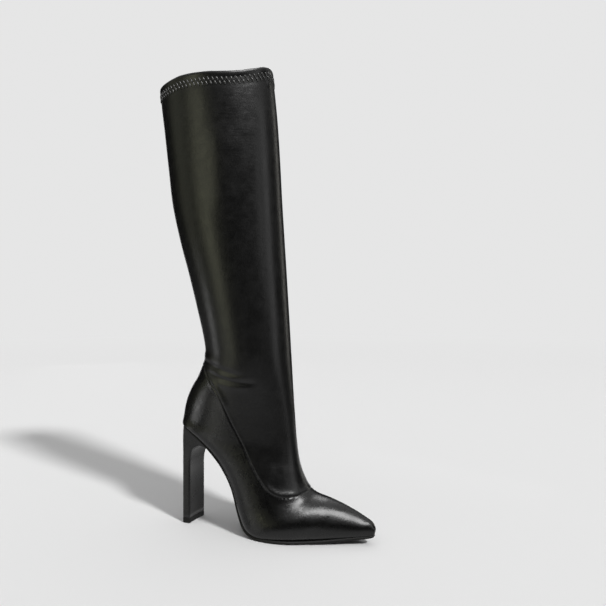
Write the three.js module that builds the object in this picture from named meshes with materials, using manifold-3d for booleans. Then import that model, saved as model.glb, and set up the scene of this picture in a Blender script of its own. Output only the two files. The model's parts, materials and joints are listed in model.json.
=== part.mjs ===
// Right knee-high boot: pointed toe, tall slab heel, plain stretch shaft and an inside zip.
// Millimetres. Boot frame: +X to the toe, +Y to the inner (medial) side, +Z up, z = 0 on the floor,
// x = 0 inside the heel tip. The exported group is shifted so that its origin lies under the middle
// of the whole boot.
import * as THREE from 'three';
import { mergeVertices } from 'three/addons/utils/BufferGeometryUtils.js';
import Module from 'manifold-3d';

const wasm = await Module();
wasm.setup();

// ---- driving dimensions -------------------------------------------------------------------

const WALL = 1.8;              // leather and lining together
const GAP = 0.3;               // between solids that lie against each other
const LASTING_MARGIN = 6;      // how far the upper turns in under the foot
const OPENING_OVERRUN = 2;     // the cutter of the opening underneath runs this far past the leather
const SOLE_EDGE = 1.2;         // outsole past the flat of the last on each side
const SOLE_CHAMFER = 0.8;
const INSOLE_THICKNESS = 2;
const INSOLE_INSET = 1;        // insole inside the flat of the last
const BALL_HEIGHT = 3.3;       // underside of the last over the flat tread of the forefoot
const TOE_CAVITY_HALF_WIDTH = 6;   // the hollow ends where the toe is narrower than this
const COLLAR_OVERRUN = 6;      // the hollow's cutter rises this far past the rim
const RIM_EASE_FROM = 440;     // the rim's rise and fall fades out down to this height
const RIM_EASE_TO = 493;

const STEPS = 2;               // sections added between two rows of the table
const QUARTER = 6;             // points on each quarter of a section
const FLAT = 2;                // points across half of the flat underneath
const FLAT_SPREAD = 0.6;       // least half width of the back of a section
const BEYOND = 80;             // half width of a cutter that runs right across the boot
const SEAM_OUTLINE = [[300, 60], [300, 600], [-100, 600]];   // closes the seam's cutter above it
const SEAM_OUTLINE_END = 177;
const MOUTH_FIRST_SOLE = 1.4;  // rows with a thicker sole than this lie under the foot

const HEEL_BACK = -7.2;
const HEEL_BREAST = 4.2;
const HEEL_HALF_WIDTH = 15.2;
const HEEL_SHIFT = -0.9;       // the heel tip's middle lies this far to the inner side
const HEEL_CORNER = 3;
const HEEL_SEAT_CORNER = 10;
const HEEL_BULGE = 1.6;        // how far the back face bows out
const HEEL_BOW_PLACE = 0.3;    // the bow's side points: share of the half width, share of the bow
const HEEL_RING_SPACING = 4.25;
const HEEL_SEAT_HALF_WIDTH = 20.5;
const HEEL_FLARE_START = 66;
const HEEL_FLARE_END = 100;
const HEEL_TOP = 125;
const HEEL_FRONT = 60;         // the uncut block's front face
const HEEL_SEAT_END = 45;      // the heel reaches this far forwards under the seat
const HEEL_REACH = 20;         // the heel's cutters start this far behind x = 0
const HEEL_LIP = [[-20, 108.5], [-8, 107.5]];   // top line behind the seat: x, z
const LIFT_THICKNESS = 5.7;

const ZIP_SLOT_HALF = 4.3;
const ZIP_TAPE_HALF = 4;
const ZIP_CUT_FROM = 5;        // the zip's cutter lies on the inner side of this
const ZIP_BOTTOM = 47;
const ZIP_TOP = 288;
const TAPE_RECESS = 0.3;
const TAPE_THICKNESS = 1.2;
const SLIDER_HEIGHT = 272;
const FRAME_REACH = 8;         // the leather's slope at the slider is taken this far each way
const SLIDER_LENGTH = 11;
const SLIDER_WIDTH = 8.4;
const SLIDER_THICKNESS = 1.6;
const SLIDER_CORNER = 2;
const SLIDER_LIFT = 0.3;       // slider over the chain
const BAIL_LENGTH = 7.6;
const BAIL_WIDTH = 2.4;
const BAIL_HEIGHT = 3.2;
const BAIL_THICKNESS = 1;
const BAIL_CORNER = 1;
const BAIL_ROOT = 0.5;         // how far the bail sinks into the slider
const BAIL_PLAY = 0.35;        // room between bail and cross bar
const PULL_THICKNESS = 1.3;
const PULL_LENGTH = 30;
const PULL_WIDTH = 7.4;
const LINK_WIDTH = 6.2;
const LINK_LENGTH = 8.5;
const WINDOW_WIDTH = 3.4;
const WINDOW_LENGTH = 5.6;
const TAB_CORNER = 1.5;
const TAB_SHOULDER = 2;        // length over which the link widens into the tab

// ---- the last and the leg: one row per section --------------------------------------------
// Each section lies in the plane through a front point (frontX, frontZ) and a back point
// (backX, backZ), across the boot. widest: place of the greatest width, 0 at the back point and
// 1 at the front. outer, inner: greatest half widths to the two sides. outerFlat, innerFlat: half
// widths of the flat underneath. frontRound, backRound: exponents of the front and back arcs.
// frontShift, backShift: sideways shift of the two end points. dip: how far the sides hang
// below the section's plane. sole: thickness of the outsole at the back point, 0 above the sole.
const COLUMNS = [
  'frontX', 'frontZ', 'backX', 'backZ', 'widest', 'outer', 'inner', 'outerFlat', 'innerFlat',
  'frontRound', 'backRound', 'frontShift', 'backShift', 'dip', 'sole',
];
const SECTIONS = [
  // leg, from the rim down to the ankle
  [94.0, 493, -38.5, 480, 0.50, 44.0, 44.0, 0, 0, 2.0, 2.0, 0, 0, 8, 0],
  [97.0, 470, -36.6, 460, 0.50, 44.3, 44.3, 0, 0, 2.0, 2.0, 0, 0, 5, 0],
  [100.7, 433, -32.3, 430, 0.50, 44.3, 44.3, 0, 0, 2.0, 2.0, 0, 0, 1, 0],
  [103.8, 390, -27.5, 390, 0.50, 44.2, 44.2, 0, 0, 2.0, 2.0, 0, 0, 0, 0],
  [106.0, 350, -22.5, 350, 0.50, 43.8, 43.8, 0, 0, 2.0, 2.0, 0, 0, 0, 0],
  [108.4, 310, -12.5, 310, 0.50, 42.8, 42.8, 0, 0, 2.0, 2.0, 0, 0, 0, 0],
  [110.8, 272, -0.7, 272, 0.51, 41.2, 41.2, 0, 0, 2.0, 2.0, 0, 0, 0, 0],
  [113.2, 236, 9.8, 236, 0.52, 39.3, 39.3, 0, 0, 2.0, 2.05, 0, 0, 0, 0],
  [115.2, 205, 18.0, 205, 0.53, 37.8, 37.8, 0, 0, 2.0, 2.1, 0, 0, 0, 0],
  [116.6, 184, 19.6, 186, 0.54, 37.0, 37.0, 0, 0, 2.0, 2.1, 0, 0, 0, 0],
  [118.4, 164, 11.2, 165, 0.54, 35.8, 35.5, 0, 0, 2.0, 2.1, 0, 0, 0, 0],
  [120.2, 145, 0.0, 148, 0.53, 34.0, 33.4, 0, 0, 2.0, 2.1, 0, 0, 0, 0],
  [122.0, 126, -7.3, 131, 0.52, 32.3, 31.3, 0, 0, 2.0, 2.1, 0, 0, 0, 0],
  [123.6, 108, -8.0, 117, 0.50, 31.3, 30.0, 5, 5, 2.0, 2.1, 0, 0, 0, 0],
  // seat and arch
  [125.0, 95, -5.5, 109.5, 0.48, 30.8, 29.2, 12, 12, 2.0, 2.2, 0, 0, 0, 1.5],
  [126.4, 85, 5.0, 105.6, 0.46, 30.5, 28.6, 20, 20, 2.0, 2.3, 0, 0, 0, 1.6],
  [128.0, 76, 20.0, 97.0, 0.44, 30.6, 28.4, 23, 22, 2.0, 2.3, 0, 0, 0, 2],
  [130.0, 68.5, 36.0, 83.3, 0.43, 31.0, 28.4, 21.5, 19, 2.0, 2.3, 0, 0, 0, 2.6],
  [132.4, 61, 50.0, 66.8, 0.43, 32.0, 29.0, 20, 16, 2.0, 2.3, 1, 0, 0, 3],
  [135.4, 54.5, 61.6, 46, 0.42, 33.2, 30.6, 20, 15.5, 1.95, 2.3, 1.5, 0, 0, 3],
  [139.5, 49.0, 70.6, 22, 0.40, 35.0, 32.6, 23, 18, 1.9, 2.2, 2, 0, 0, 3],
  // ball and toe
  [145.6, 45.2, 81.0, 8.0, 0.36, 37.0, 34.6, 29, 26, 1.85, 2.1, 2.5, 0, 0, 3],
  [153.4, 43.0, 96.0, 3.3, 0.30, 38.0, 35.8, 33, 31, 1.8, 2.1, 3, 0, 0, 3],
  [161.4, 41.1, 112.0, 3.3, 0.26, 36.5, 35.8, 33.5, 33.5, 1.75, 2.0, 3.5, 0, 0, 3],
  [170.0, 38.5, 129.0, 3.3, 0.25, 32.0, 33.0, 30, 31.5, 1.7, 2.0, 4, 0, 0, 3],
  [178.6, 35.4, 145.0, 3.6, 0.26, 26.0, 29.0, 24, 27, 1.7, 2.0, 4.5, 1, 0, 3],
  [186.4, 32.3, 160.0, 4.6, 0.28, 20.5, 23.6, 18.5, 21.5, 1.7, 2.0, 4.8, 1.5, 0, 3],
  [193.4, 29.2, 174.0, 6.0, 0.30, 16.0, 18.0, 14, 16, 1.75, 2.0, 5, 2.5, 0, 2.8],
  [199.6, 26.2, 187.0, 7.6, 0.34, 12.0, 13.0, 9.8, 10.8, 1.8, 2.0, 5, 3.2, 0, 2.5],
  [204.6, 23.9, 197.6, 8.6, 0.38, 8.6, 9.0, 6.4, 6.8, 1.9, 2.0, 4.5, 3.8, 0, 2.2],
  [207.7, 21.4, 204.8, 9.3, 0.42, 5.7, 5.9, 3.8, 4, 2.0, 2.0, 4.2, 4, 0, 1.8],
  [209.6, 18.0, 208.2, 10.0, 0.50, 3.2, 3.2, 1.8, 1.8, 2.0, 2.0, 4, 4, 0, 1.5],
].map((row) => Object.fromEntries(COLUMNS.map((name, k) => [name, row[k]])));

// How far the rim stands over its own plane: place from back to front, height.
const RIM_LIFT = [
  [0, 0], [0.1, 1.8], [0.23, 4.3], [0.35, 6.3], [0.45, 6], [0.53, 5],
  [0.63, 3], [0.71, 0.5], [0.8, -2], [0.87, -3.2], [0.95, -2.6], [1, 0],
];

// Seam between foot part and shaft, seen from the side: back of the ankle, down both sides, round
// the throat. Its first and last points lie outside the leather. x, z.
const SEAM = [
  [2, 177], [20, 175], [27.5, 172], [37, 162.5], [48.5, 148.5], [55, 137], [62.5, 121.5],
  [75.5, 98], [91, 70.5], [104.6, 52.8], [111.4, 47.8], [117.8, 45.2], [123, 44.6],
  [128.2, 44.9], [134, 46.4], [141, 49.5], [150, 56],
];

// Middle line of the zip on the inner side, seen from the side: x, z from the top down.
const ZIP_LINE = [[61, 300], [61, 175], [60, 110], [61, 88], [65, 64], [70, 40]];

// Arch between heel breast and shank, seen from the side: x, z, from the breast forwards.
const HEEL_ARCH = [[4.2, 64], [5, 73], [7.8, 80.5], [12.4, 84.2], [18, 85.3], [25, 85], [45, 83.5]];

// ---- helpers ------------------------------------------------------------------------------

// Catmull-Rom value between b and c.
function catmull(a, b, c, d, t) {
  const linear = c - a;
  const square = 2 * a - 5 * b + 4 * c - d;
  const cube = 3 * b - a - 3 * c + d;
  return b + 0.5 * t * (linear + t * (square + t * cube));
}

// Rows of the table with smooth rows added between them.
function denseRows(rows, steps) {
  const dense = [];
  for (let i = 0; i < rows.length - 1; i += 1) {
    const [b, c] = [rows[i], rows[i + 1]];
    const a = rows[i - 1];
    const d = rows[i + 2];
    for (let j = 0; j < steps; j += 1) {
      const row = {};
      for (const name of Object.keys(b)) {
        const before = a ? a[name] : 2 * b[name] - c[name];
        const after = d ? d[name] : 2 * c[name] - b[name];
        row[name] = catmull(before, b[name], c[name], after, j / steps);
      }
      dense.push(row);
    }
  }
  dense.push(rows[rows.length - 1]);
  return dense;
}

// Smooth polyline through [x, z] points.
function smoothLine(points, steps) {
  const rows = points.map(([x, z]) => ({ x, z }));
  return denseRows(rows, steps).map((row) => [row.x, row.z]);
}

// Solid from triangle soup, its shared vertices merged.
function solidFromGeometry(geometry) {
  const bare = geometry.clone();
  bare.deleteAttribute('normal');
  bare.deleteAttribute('uv');
  const merged = mergeVertices(bare, 1e-4);
  const mesh = new wasm.Mesh({
    numProp: 3,
    vertProperties: new Float32Array(merged.attributes.position.array),
    triVerts: new Uint32Array(merged.index.array),
  });
  return new wasm.Manifold(mesh);
}

function geometryFromSolid(solid) {
  const mesh = solid.getMesh();
  const geometry = new THREE.BufferGeometry();
  geometry.setAttribute('position', new THREE.BufferAttribute(mesh.vertProperties.slice(), 3));
  geometry.setIndex(new THREE.BufferAttribute(mesh.triVerts.slice(), 1));
  geometry.computeVertexNormals();
  return geometry;
}

// Closed solid through loops of equal length; both ends are closed by a fan to their middle.
function loft(loops) {
  const around = loops[0].length;
  const positions = loops.flat().flatMap((p) => [p.x, p.y, p.z]);
  const triangles = [];
  for (let i = 0; i < loops.length - 1; i += 1) {
    for (let j = 0; j < around; j += 1) {
      const a = i * around + j;
      const b = i * around + ((j + 1) % around);
      triangles.push(a, b, b + around, a, b + around, a + around);
    }
  }
  for (const [i, turned] of [[0, true], [loops.length - 1, false]]) {
    const middle = new THREE.Vector3();
    loops[i].forEach((p) => middle.addScaledVector(p, 1 / around));
    const hub = positions.length / 3;
    positions.push(middle.x, middle.y, middle.z);
    for (let j = 0; j < around; j += 1) {
      const a = i * around + j;
      const b = i * around + ((j + 1) % around);
      triangles.push(...(turned ? [hub, b, a] : [hub, a, b]));
    }
  }
  const geometry = new THREE.BufferGeometry();
  geometry.setAttribute('position', new THREE.Float32BufferAttribute(positions, 3));
  geometry.setIndex(volumeOf(positions, triangles) < 0 ? triangles.reverse() : triangles);
  return solidFromGeometry(geometry);
}

function volumeOf(positions, triangles) {
  let volume = 0;
  const corner = (k) => new THREE.Vector3().fromArray(positions, 3 * triangles[k]);
  for (let k = 0; k < triangles.length; k += 3) {
    volume += corner(k).dot(corner(k + 1).cross(corner(k + 2))) / 6;
  }
  return volume;
}

// Prism across the boot: an outline of [x, z] points from y0 to y1.
function crossPrism(outline, y0, y1) {
  const shape = new THREE.Shape(outline.map(([x, z]) => new THREE.Vector2(x, z)));
  const geometry = new THREE.ExtrudeGeometry(shape, { depth: y1 - y0, bevelEnabled: false });
  geometry.rotateX(Math.PI / 2);
  geometry.translate(0, y1, 0);
  return solidFromGeometry(geometry);
}

// ---- the last's surface -------------------------------------------------------------------

// Value at a place on a list of [place, value] pairs.
function lookUp(pairs, place) {
  const k = Math.max(1, pairs.findIndex(([at]) => at >= place));
  const [[p0, v0], [p1, v1]] = [pairs[k - 1], pairs[k]];
  return THREE.MathUtils.mapLinear(place, p0, p1, v0, v1);
}

// One section as a closed loop: front, outer side, back or underside, inner side.
function sectionLoop(row) {
  const length = Math.hypot(row.frontX - row.backX, row.frontZ - row.backZ);
  const middle = row.widest * length;
  const ahead = new THREE.Vector3(row.frontX - row.backX, 0, row.frontZ - row.backZ);
  ahead.divideScalar(length);
  const nearRim = THREE.MathUtils.smoothstep(row.frontZ, RIM_EASE_FROM, RIM_EASE_TO);
  const at = (along, side) => {
    const place = THREE.MathUtils.clamp(along / length, 0, 1);
    const shift = THREE.MathUtils.lerp(row.backShift, row.frontShift, place);
    const rise = nearRim * lookUp(RIM_LIFT, place) - row.dip * (side / row.outer) ** 2;
    return new THREE.Vector3(
      row.backX + ahead.x * along,
      side + shift,
      row.backZ + ahead.z * along + rise,
    );
  };
  const half = (width, flat, sign) => {
    const points = [];
    for (let i = 0; i <= QUARTER; i += 1) {
      const angle = (Math.PI / 2) * (i / QUARTER);
      const along = middle + (length - middle) * Math.cos(angle) ** (2 / row.frontRound);
      points.push(at(along, sign * width * Math.sin(angle) ** (2 / row.frontRound)));
    }
    for (let i = 1; i <= QUARTER; i += 1) {
      const angle = (Math.PI / 2) * (i / QUARTER);
      const along = middle - middle * Math.sin(angle) ** (2 / row.backRound);
      const spread = Math.max(Math.cos(angle), 0) ** (2 / row.backRound);
      points.push(at(along, sign * (flat + (width - flat) * spread)));
    }
    for (let i = 1; i <= FLAT; i += 1) {
      points.push(at(0, sign * flat * (1 - i / FLAT)));
    }
    return points;
  };
  const outer = half(row.outer, Math.max(row.outerFlat, 0), -1);
  const inner = half(row.inner, Math.max(row.innerFlat, 0), 1);
  // Where there is no flat its points would fall together: they are spread a hair apart.
  return spreadFlat([...outer, ...inner.reverse().slice(1, -1)]);
}

function spreadFlat(loop) {
  const first = 2 * QUARTER;
  const back = loop[first + FLAT];
  const flatHalf = Math.abs(loop[first].y - back.y);
  if (flatHalf > FLAT_SPREAD) {
    return loop;
  }
  for (let i = 0; i <= 2 * FLAT; i += 1) {
    loop[first + i].y = back.y - FLAT_SPREAD + (FLAT_SPREAD * i) / FLAT;
  }
  return loop;
}

// Loops moved along the surface normal: negative distances go into the foot.
function offsetLoops(loops, distance) {
  const around = loops[0].length;
  return loops.map((loop, i) => loop.map((point, j) => {
    const along = new THREE.Vector3().subVectors(
      loops[Math.min(i + 1, loops.length - 1)][j],
      loops[Math.max(i - 1, 0)][j],
    );
    const across = new THREE.Vector3().subVectors(
      loop[(j + 1) % around],
      loop[(j + around - 1) % around],
    );
    const normal = across.cross(along).normalize();
    return point.clone().addScaledVector(normal, distance * outward(loop, point, normal));
  }));
}

function outward(loop, point, normal) {
  const middle = new THREE.Vector3();
  loop.forEach((p) => middle.addScaledVector(p, 1 / loop.length));
  return Math.sign(point.clone().sub(middle).dot(normal)) || 1;
}

const rows = denseRows(SECTIONS, STEPS).map((row) => ({
  ...row,
  backZ: Math.max(row.backZ, BALL_HEIGHT),
}));
const surface = rows.map(sectionLoop);

// Closed solid of the surface moved in by a distance, open upwards past the rim.
function cavity(depth, overrun) {
  const moved = offsetLoops(surface, -depth);
  const kept = moved.filter((_, i) => Math.min(rows[i].outer, rows[i].inner) > TOE_CAVITY_HALF_WIDTH);
  const lifted = kept[0].map((p) => p.clone().add(new THREE.Vector3(0, 0, overrun)));
  return loft([lifted, ...kept]);
}

// Direction out of the underside between two sections.
function downwards(before, after) {
  return new THREE.Vector2(after.backZ - before.backZ, before.backX - after.backX).normalize();
}

// Plate along the underside of the last, from one depth below it to another.
// edge: how far the plate runs past the flat on each side; top and bottom: depth functions.
function plate(selected, edge, top, bottom, chamfer) {
  const loops = selected.map((row, i) => {
    const before = selected[Math.max(i - 1, 0)];
    const after = selected[Math.min(i + 1, selected.length - 1)];
    const down = downwards(before, after);
    const at = (side, depth) => new THREE.Vector3(
      row.backX + down.x * depth,
      side + row.backShift,
      row.backZ + down.y * depth,
    );
    const [outer, inner] = [-row.outerFlat - edge, row.innerFlat + edge];
    const [high, low] = [top(row), bottom(row)];
    return [
      at(outer, high), at(outer, low - chamfer), at(outer + chamfer, low),
      at(inner - chamfer, low), at(inner, low - chamfer), at(inner, high),
    ];
  });
  return loft(loops);
}

// ---- the boot's pieces --------------------------------------------------------------------

const seamLine = smoothLine(SEAM, 3);

// Everything on the shaft's side of the seam, moved a little to leave the gap.
function shaftSide(shift) {
  const step = shift * Math.SQRT1_2;
  const line = seamLine.map(([x, z]) => [x + step, z + step]);
  const end = [SEAM_OUTLINE[SEAM_OUTLINE.length - 1][0], SEAM_OUTLINE_END + shift];
  return crossPrism([...line, ...SEAM_OUTLINE, end], -BEYOND, BEYOND);
}

// Band along the zip's line on the inner side, from bottom to top.
function zipBand(halfWidth, bottom, top) {
  const line = smoothLine(ZIP_LINE, 4).filter(([, z]) => z < top && z > bottom);
  const bounded = [[ZIP_LINE[0][0], top], ...line, [zipX(bottom), bottom]];
  const rear = bounded.map(([x, z]) => [x - halfWidth, z]);
  const front = bounded.map(([x, z]) => [x + halfWidth, z]);
  return crossPrism([...rear, ...front.reverse()], ZIP_CUT_FROM, BEYOND);
}

function zipX(height) {
  const line = smoothLine(ZIP_LINE, 4);
  const i = line.findIndex(([, z]) => z <= height);
  const [[x0, z0], [x1, z1]] = [line[i - 1], line[i]];
  return x0 + ((x1 - x0) * (z0 - height)) / (z0 - z1);
}

const body = loft(surface).subtract(cavity(WALL, COLLAR_OVERRUN));
const footRows = rows.filter((row) => row.sole > MOUTH_FIRST_SOLE);
const openingRows = footRows.filter((row) => Math.min(row.outerFlat, row.innerFlat)
  > LASTING_MARGIN + OPENING_OVERRUN);
const opening = plate(
  openingRows, -LASTING_MARGIN, () => -WALL - OPENING_OVERRUN, () => OPENING_OVERRUN, 0,
);
const zipSlot = zipBand(ZIP_SLOT_HALF, ZIP_BOTTOM, ZIP_TOP);

function makeShaft() {
  return body.intersect(shaftSide(GAP / 2)).subtract(zipSlot);
}

function makeUpper() {
  return body.subtract(shaftSide(-GAP / 2)).subtract(opening).subtract(zipSlot);
}

function makeOutsole() {
  return plate(footRows, SOLE_EDGE, () => GAP, (row) => GAP + row.sole, SOLE_CHAMFER);
}

function makeInsole() {
  const kept = footRows.slice(1).filter((row) => Math.min(row.outer, row.inner)
    > TOE_CAVITY_HALF_WIDTH + 1);
  const top = -WALL - GAP - INSOLE_THICKNESS;
  return plate(kept, -INSOLE_INSET, () => top, () => -WALL - GAP, 0);
}

// Outline of the heel in plan at one height: straight sides, round back corners, bowed back.
function heelLoop(height, halfWidth, shift, radius, front) {
  const at = (x, y) => new THREE.Vector3(x, y + shift, height);
  const corner = (sign, start, end) => [0, 1, 2, 3].map((i) => {
    const angle = THREE.MathUtils.lerp(start, end, i / 3);
    return at(
      HEEL_BACK + HEEL_BULGE + radius * (1 - Math.cos(angle)),
      sign * (halfWidth - radius * (1 - Math.sin(angle))),
    );
  });
  const bow = HEEL_BACK + HEEL_BULGE * HEEL_BOW_PLACE;
  return [
    at(front, -halfWidth),
    ...corner(-1, Math.PI / 2, 0),
    at(bow, -halfWidth * HEEL_BOW_PLACE),
    at(HEEL_BACK, 0),
    at(bow, halfWidth * HEEL_BOW_PLACE),
    ...corner(1, 0, Math.PI / 2),
    at(front, halfWidth),
  ];
}

function heelBlock(bottom, top, front) {
  const heights = [bottom];
  for (let z = HEEL_FLARE_START; z <= HEEL_FLARE_END; z += HEEL_RING_SPACING) {
    heights.push(z);
  }
  heights.push(top);
  return loft(heights.filter((z) => z >= bottom && z <= top).map((z) => {
    const flare = THREE.MathUtils.smoothstep(z, HEEL_FLARE_START, HEEL_FLARE_END);
    const half = THREE.MathUtils.lerp(HEEL_HALF_WIDTH, HEEL_SEAT_HALF_WIDTH, flare);
    const radius = THREE.MathUtils.lerp(HEEL_CORNER, HEEL_SEAT_CORNER, flare);
    return heelLoop(z, half, HEEL_SHIFT * (1 - flare), radius, front);
  }));
}

function makeHeel() {
  const seat = footRows.filter((row) => row.backX < HEEL_SEAT_END);
  const top = seat.map((row, i) => {
    const down = downwards(seat[Math.max(i - 1, 0)], seat[Math.min(i + 1, seat.length - 1)]);
    const depth = row.sole + 2 * GAP;
    return [row.backX + down.x * depth, row.backZ + down.y * depth];
  });
  const base = LIFT_THICKNESS + GAP;
  const front = top[top.length - 1][0];
  const underSeat = [...HEEL_LIP, ...top, [front, base - GAP], [-HEEL_REACH, base - GAP]];
  const arch = smoothLine(HEEL_ARCH, 3);
  const aboveArch = [
    [-HEEL_REACH, base], [HEEL_BREAST, base], ...arch,
    [HEEL_SEAT_END, HEEL_TOP], [-HEEL_REACH, HEEL_TOP],
  ];
  return heelBlock(base, HEEL_TOP, HEEL_FRONT)
    .intersect(crossPrism(aboveArch, -BEYOND, BEYOND))
    .intersect(crossPrism(underSeat, -BEYOND, BEYOND));
}

function makeTopLift() {
  return heelBlock(0, LIFT_THICKNESS, HEEL_BREAST);
}

function makeZipTape() {
  const skin = cavity(TAPE_RECESS, 1).subtract(cavity(TAPE_RECESS + TAPE_THICKNESS, 4));
  return skin.intersect(zipBand(ZIP_TAPE_HALF, ZIP_BOTTOM + GAP, ZIP_TOP - GAP));
}

// Place and directions on the inner side: out of the leather, up along it and forwards.
function innerSideFrame(height) {
  const x = zipX(height);
  const slope = (dx, dz) => sideY(x + dx, height + dz) - sideY(x - dx, height - dz);
  const up = new THREE.Vector3(0, slope(0, FRAME_REACH), 2 * FRAME_REACH).normalize();
  const forwards = new THREE.Vector3(2 * FRAME_REACH, slope(FRAME_REACH, 0), 0).normalize();
  const out = new THREE.Vector3().crossVectors(up, forwards).normalize();
  return { origin: new THREE.Vector3(x, sideY(x, height), height), forwards, up, out };
}

// y of the inner side's surface at a place on the leg.
function sideY(x, height) {
  const k = rows.findIndex((row) => row.backZ < height);
  const [above, below] = [rows[k - 1], rows[k]];
  const t = (above.backZ - height) / (above.backZ - below.backZ);
  const mix = (name) => THREE.MathUtils.lerp(above[name], below[name], t);
  const middle = THREE.MathUtils.lerp(mix('backX'), mix('frontX'), mix('widest'));
  const reach = x > middle ? mix('frontX') - middle : middle - mix('backX');
  return mix('inner') * Math.sqrt(1 - ((x - middle) / reach) ** 2);
}

// Flat plate in the slider's frame: outline in [forwards, up], from one height to another.
function sidePlate(shape, low, high) {
  const geometry = new THREE.ExtrudeGeometry(shape, {
    depth: high - low, bevelEnabled: false, curveSegments: 4,
  });
  geometry.translate(0, 0, low);
  return solidFromGeometry(geometry);
}

function roundedRectangle(halfWidth, bottom, top, radius) {
  const shape = new THREE.Shape();
  shape.moveTo(-halfWidth + radius, bottom);
  shape.lineTo(halfWidth - radius, bottom);
  shape.absarc(halfWidth - radius, bottom + radius, radius, -Math.PI / 2, 0);
  shape.absarc(halfWidth - radius, top - radius, radius, 0, Math.PI / 2);
  shape.absarc(-halfWidth + radius, top - radius, radius, Math.PI / 2, Math.PI);
  shape.absarc(-halfWidth + radius, bottom + radius, radius, Math.PI, 1.5 * Math.PI);
  return shape;
}

const sliderFrame = innerSideFrame(SLIDER_HEIGHT);
const PLATE_LOW = GAP + SLIDER_LIFT;
const PLATE_HIGH = PLATE_LOW + SLIDER_THICKNESS;
const PIVOT_HEIGHT = PLATE_HIGH + BAIL_HEIGHT - BAIL_THICKNESS - PULL_THICKNESS / 2 - BAIL_PLAY;

// Solid drawn as [forwards, up, out] and set on the leg's inner side.
function ontoLeg(solid) {
  const geometry = geometryFromSolid(solid);
  const { forwards, up, out, origin } = sliderFrame;
  const matrix = new THREE.Matrix4().makeBasis(forwards, up, out).setPosition(origin);
  geometry.applyMatrix4(matrix);
  if (matrix.determinant() < 0) {
    geometry.setIndex([...geometry.index.array].reverse());
  }
  geometry.computeVertexNormals();
  return geometry;
}

function polygon(points) {
  return new THREE.Shape(points.map(([x, y]) => new THREE.Vector2(x, y)));
}

function makeSlider() {
  const half = SLIDER_LENGTH / 2;
  const outline = roundedRectangle(SLIDER_WIDTH / 2, -half, half, SLIDER_CORNER);
  const base = sidePlate(outline, PLATE_LOW, PLATE_HIGH);
  const [long, high] = [BAIL_LENGTH / 2, PLATE_HIGH + BAIL_HEIGHT];
  const [longInside, highInside] = [long - BAIL_THICKNESS, high - BAIL_THICKNESS];
  const foot = PLATE_HIGH - BAIL_ROOT;
  const bail = new THREE.ExtrudeGeometry(polygon([
    [-long, foot], [-long, high - BAIL_CORNER], [-long + BAIL_CORNER, high],
    [long - BAIL_CORNER, high], [long, high - BAIL_CORNER], [long, foot],
    [longInside, foot], [longInside, highInside], [-longInside, highInside], [-longInside, foot],
  ]), { depth: BAIL_WIDTH, bevelEnabled: false });
  // drawn as [up, out], turned to run along the slider
  bail.applyMatrix4(new THREE.Matrix4().set(
    0, 0, 1, -BAIL_WIDTH / 2,
    1, 0, 0, 0,
    0, 1, 0, 0,
    0, 0, 0, 1,
  ));
  return base.add(solidFromGeometry(bail));
}

// The tab hangs from its cross bar, which lies under the bail.
function makePull() {
  const bar = PULL_THICKNESS / 2;
  const [link, tab] = [LINK_WIDTH / 2, PULL_WIDTH / 2];
  const shoulder = -LINK_LENGTH - TAB_SHOULDER;
  const shape = polygon([
    [-link, bar], [-link, -LINK_LENGTH], [-tab, shoulder], [-tab, -PULL_LENGTH + TAB_CORNER],
    [-tab + TAB_CORNER, -PULL_LENGTH], [tab - TAB_CORNER, -PULL_LENGTH],
    [tab, -PULL_LENGTH + TAB_CORNER], [tab, shoulder], [link, -LINK_LENGTH], [link, bar],
  ]);
  const side = WINDOW_WIDTH / 2;
  shape.holes.push(polygon([
    [-side, -bar], [side, -bar], [side, -bar - WINDOW_LENGTH], [-side, -bar - WINDOW_LENGTH],
  ]));
  return sidePlate(shape, PIVOT_HEIGHT - bar, PIVOT_HEIGHT + bar);
}

// ---- materials and group ------------------------------------------------------------------

const leather = new THREE.MeshStandardMaterial({ color: 0x161615, roughness: 0.42, metalness: 0 });
const rubber = new THREE.MeshStandardMaterial({ color: 0x141414, roughness: 0.6, metalness: 0 });
const board = new THREE.MeshStandardMaterial({ color: 0x2a2825, roughness: 0.8, metalness: 0 });
const lacquer = new THREE.MeshStandardMaterial({ color: 0x181817, roughness: 0.3, metalness: 0 });
const cloth = new THREE.MeshStandardMaterial({ color: 0x0e0e0e, roughness: 0.9, metalness: 0 });
const metal = new THREE.MeshStandardMaterial({ color: 0x6f7073, roughness: 0.3, metalness: 1 });

const boot = new THREE.Group();

function addPiece(name, geometry, material) {
  const mesh = new THREE.Mesh(geometry, material);
  mesh.name = name;
  boot.add(mesh);
}

addPiece('shaft', geometryFromSolid(makeShaft()), leather);
addPiece('upper', geometryFromSolid(makeUpper()), leather);
addPiece('outsole', geometryFromSolid(makeOutsole()), rubber);
addPiece('insole', geometryFromSolid(makeInsole()), board);
addPiece('heel', geometryFromSolid(makeHeel()), lacquer);
addPiece('top_lift', geometryFromSolid(makeTopLift()), rubber);
addPiece('zip_tape', geometryFromSolid(makeZipTape()), cloth);
addPiece('zip_slider', ontoLeg(makeSlider()), metal);
addPiece('zip_pull', ontoLeg(makePull()), metal);

// The origin goes under the middle of the boot's box, on the floor.
const box = new THREE.Box3().setFromObject(boot, true);
const centre = box.getCenter(new THREE.Vector3());
boot.position.set(-centre.x, -centre.y, -box.min.z);

export default boot;
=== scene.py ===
"""Right knee-high boot, its looks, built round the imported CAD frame.

Shapes are worked out in millimetres in the boot's own frame: +X to the toe, +Y to the inner side,
+Z up, z = 0 on the floor, x = 0 inside the heel tip. place() turns them into the row
frame in metres.
"""

import json
import math

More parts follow.
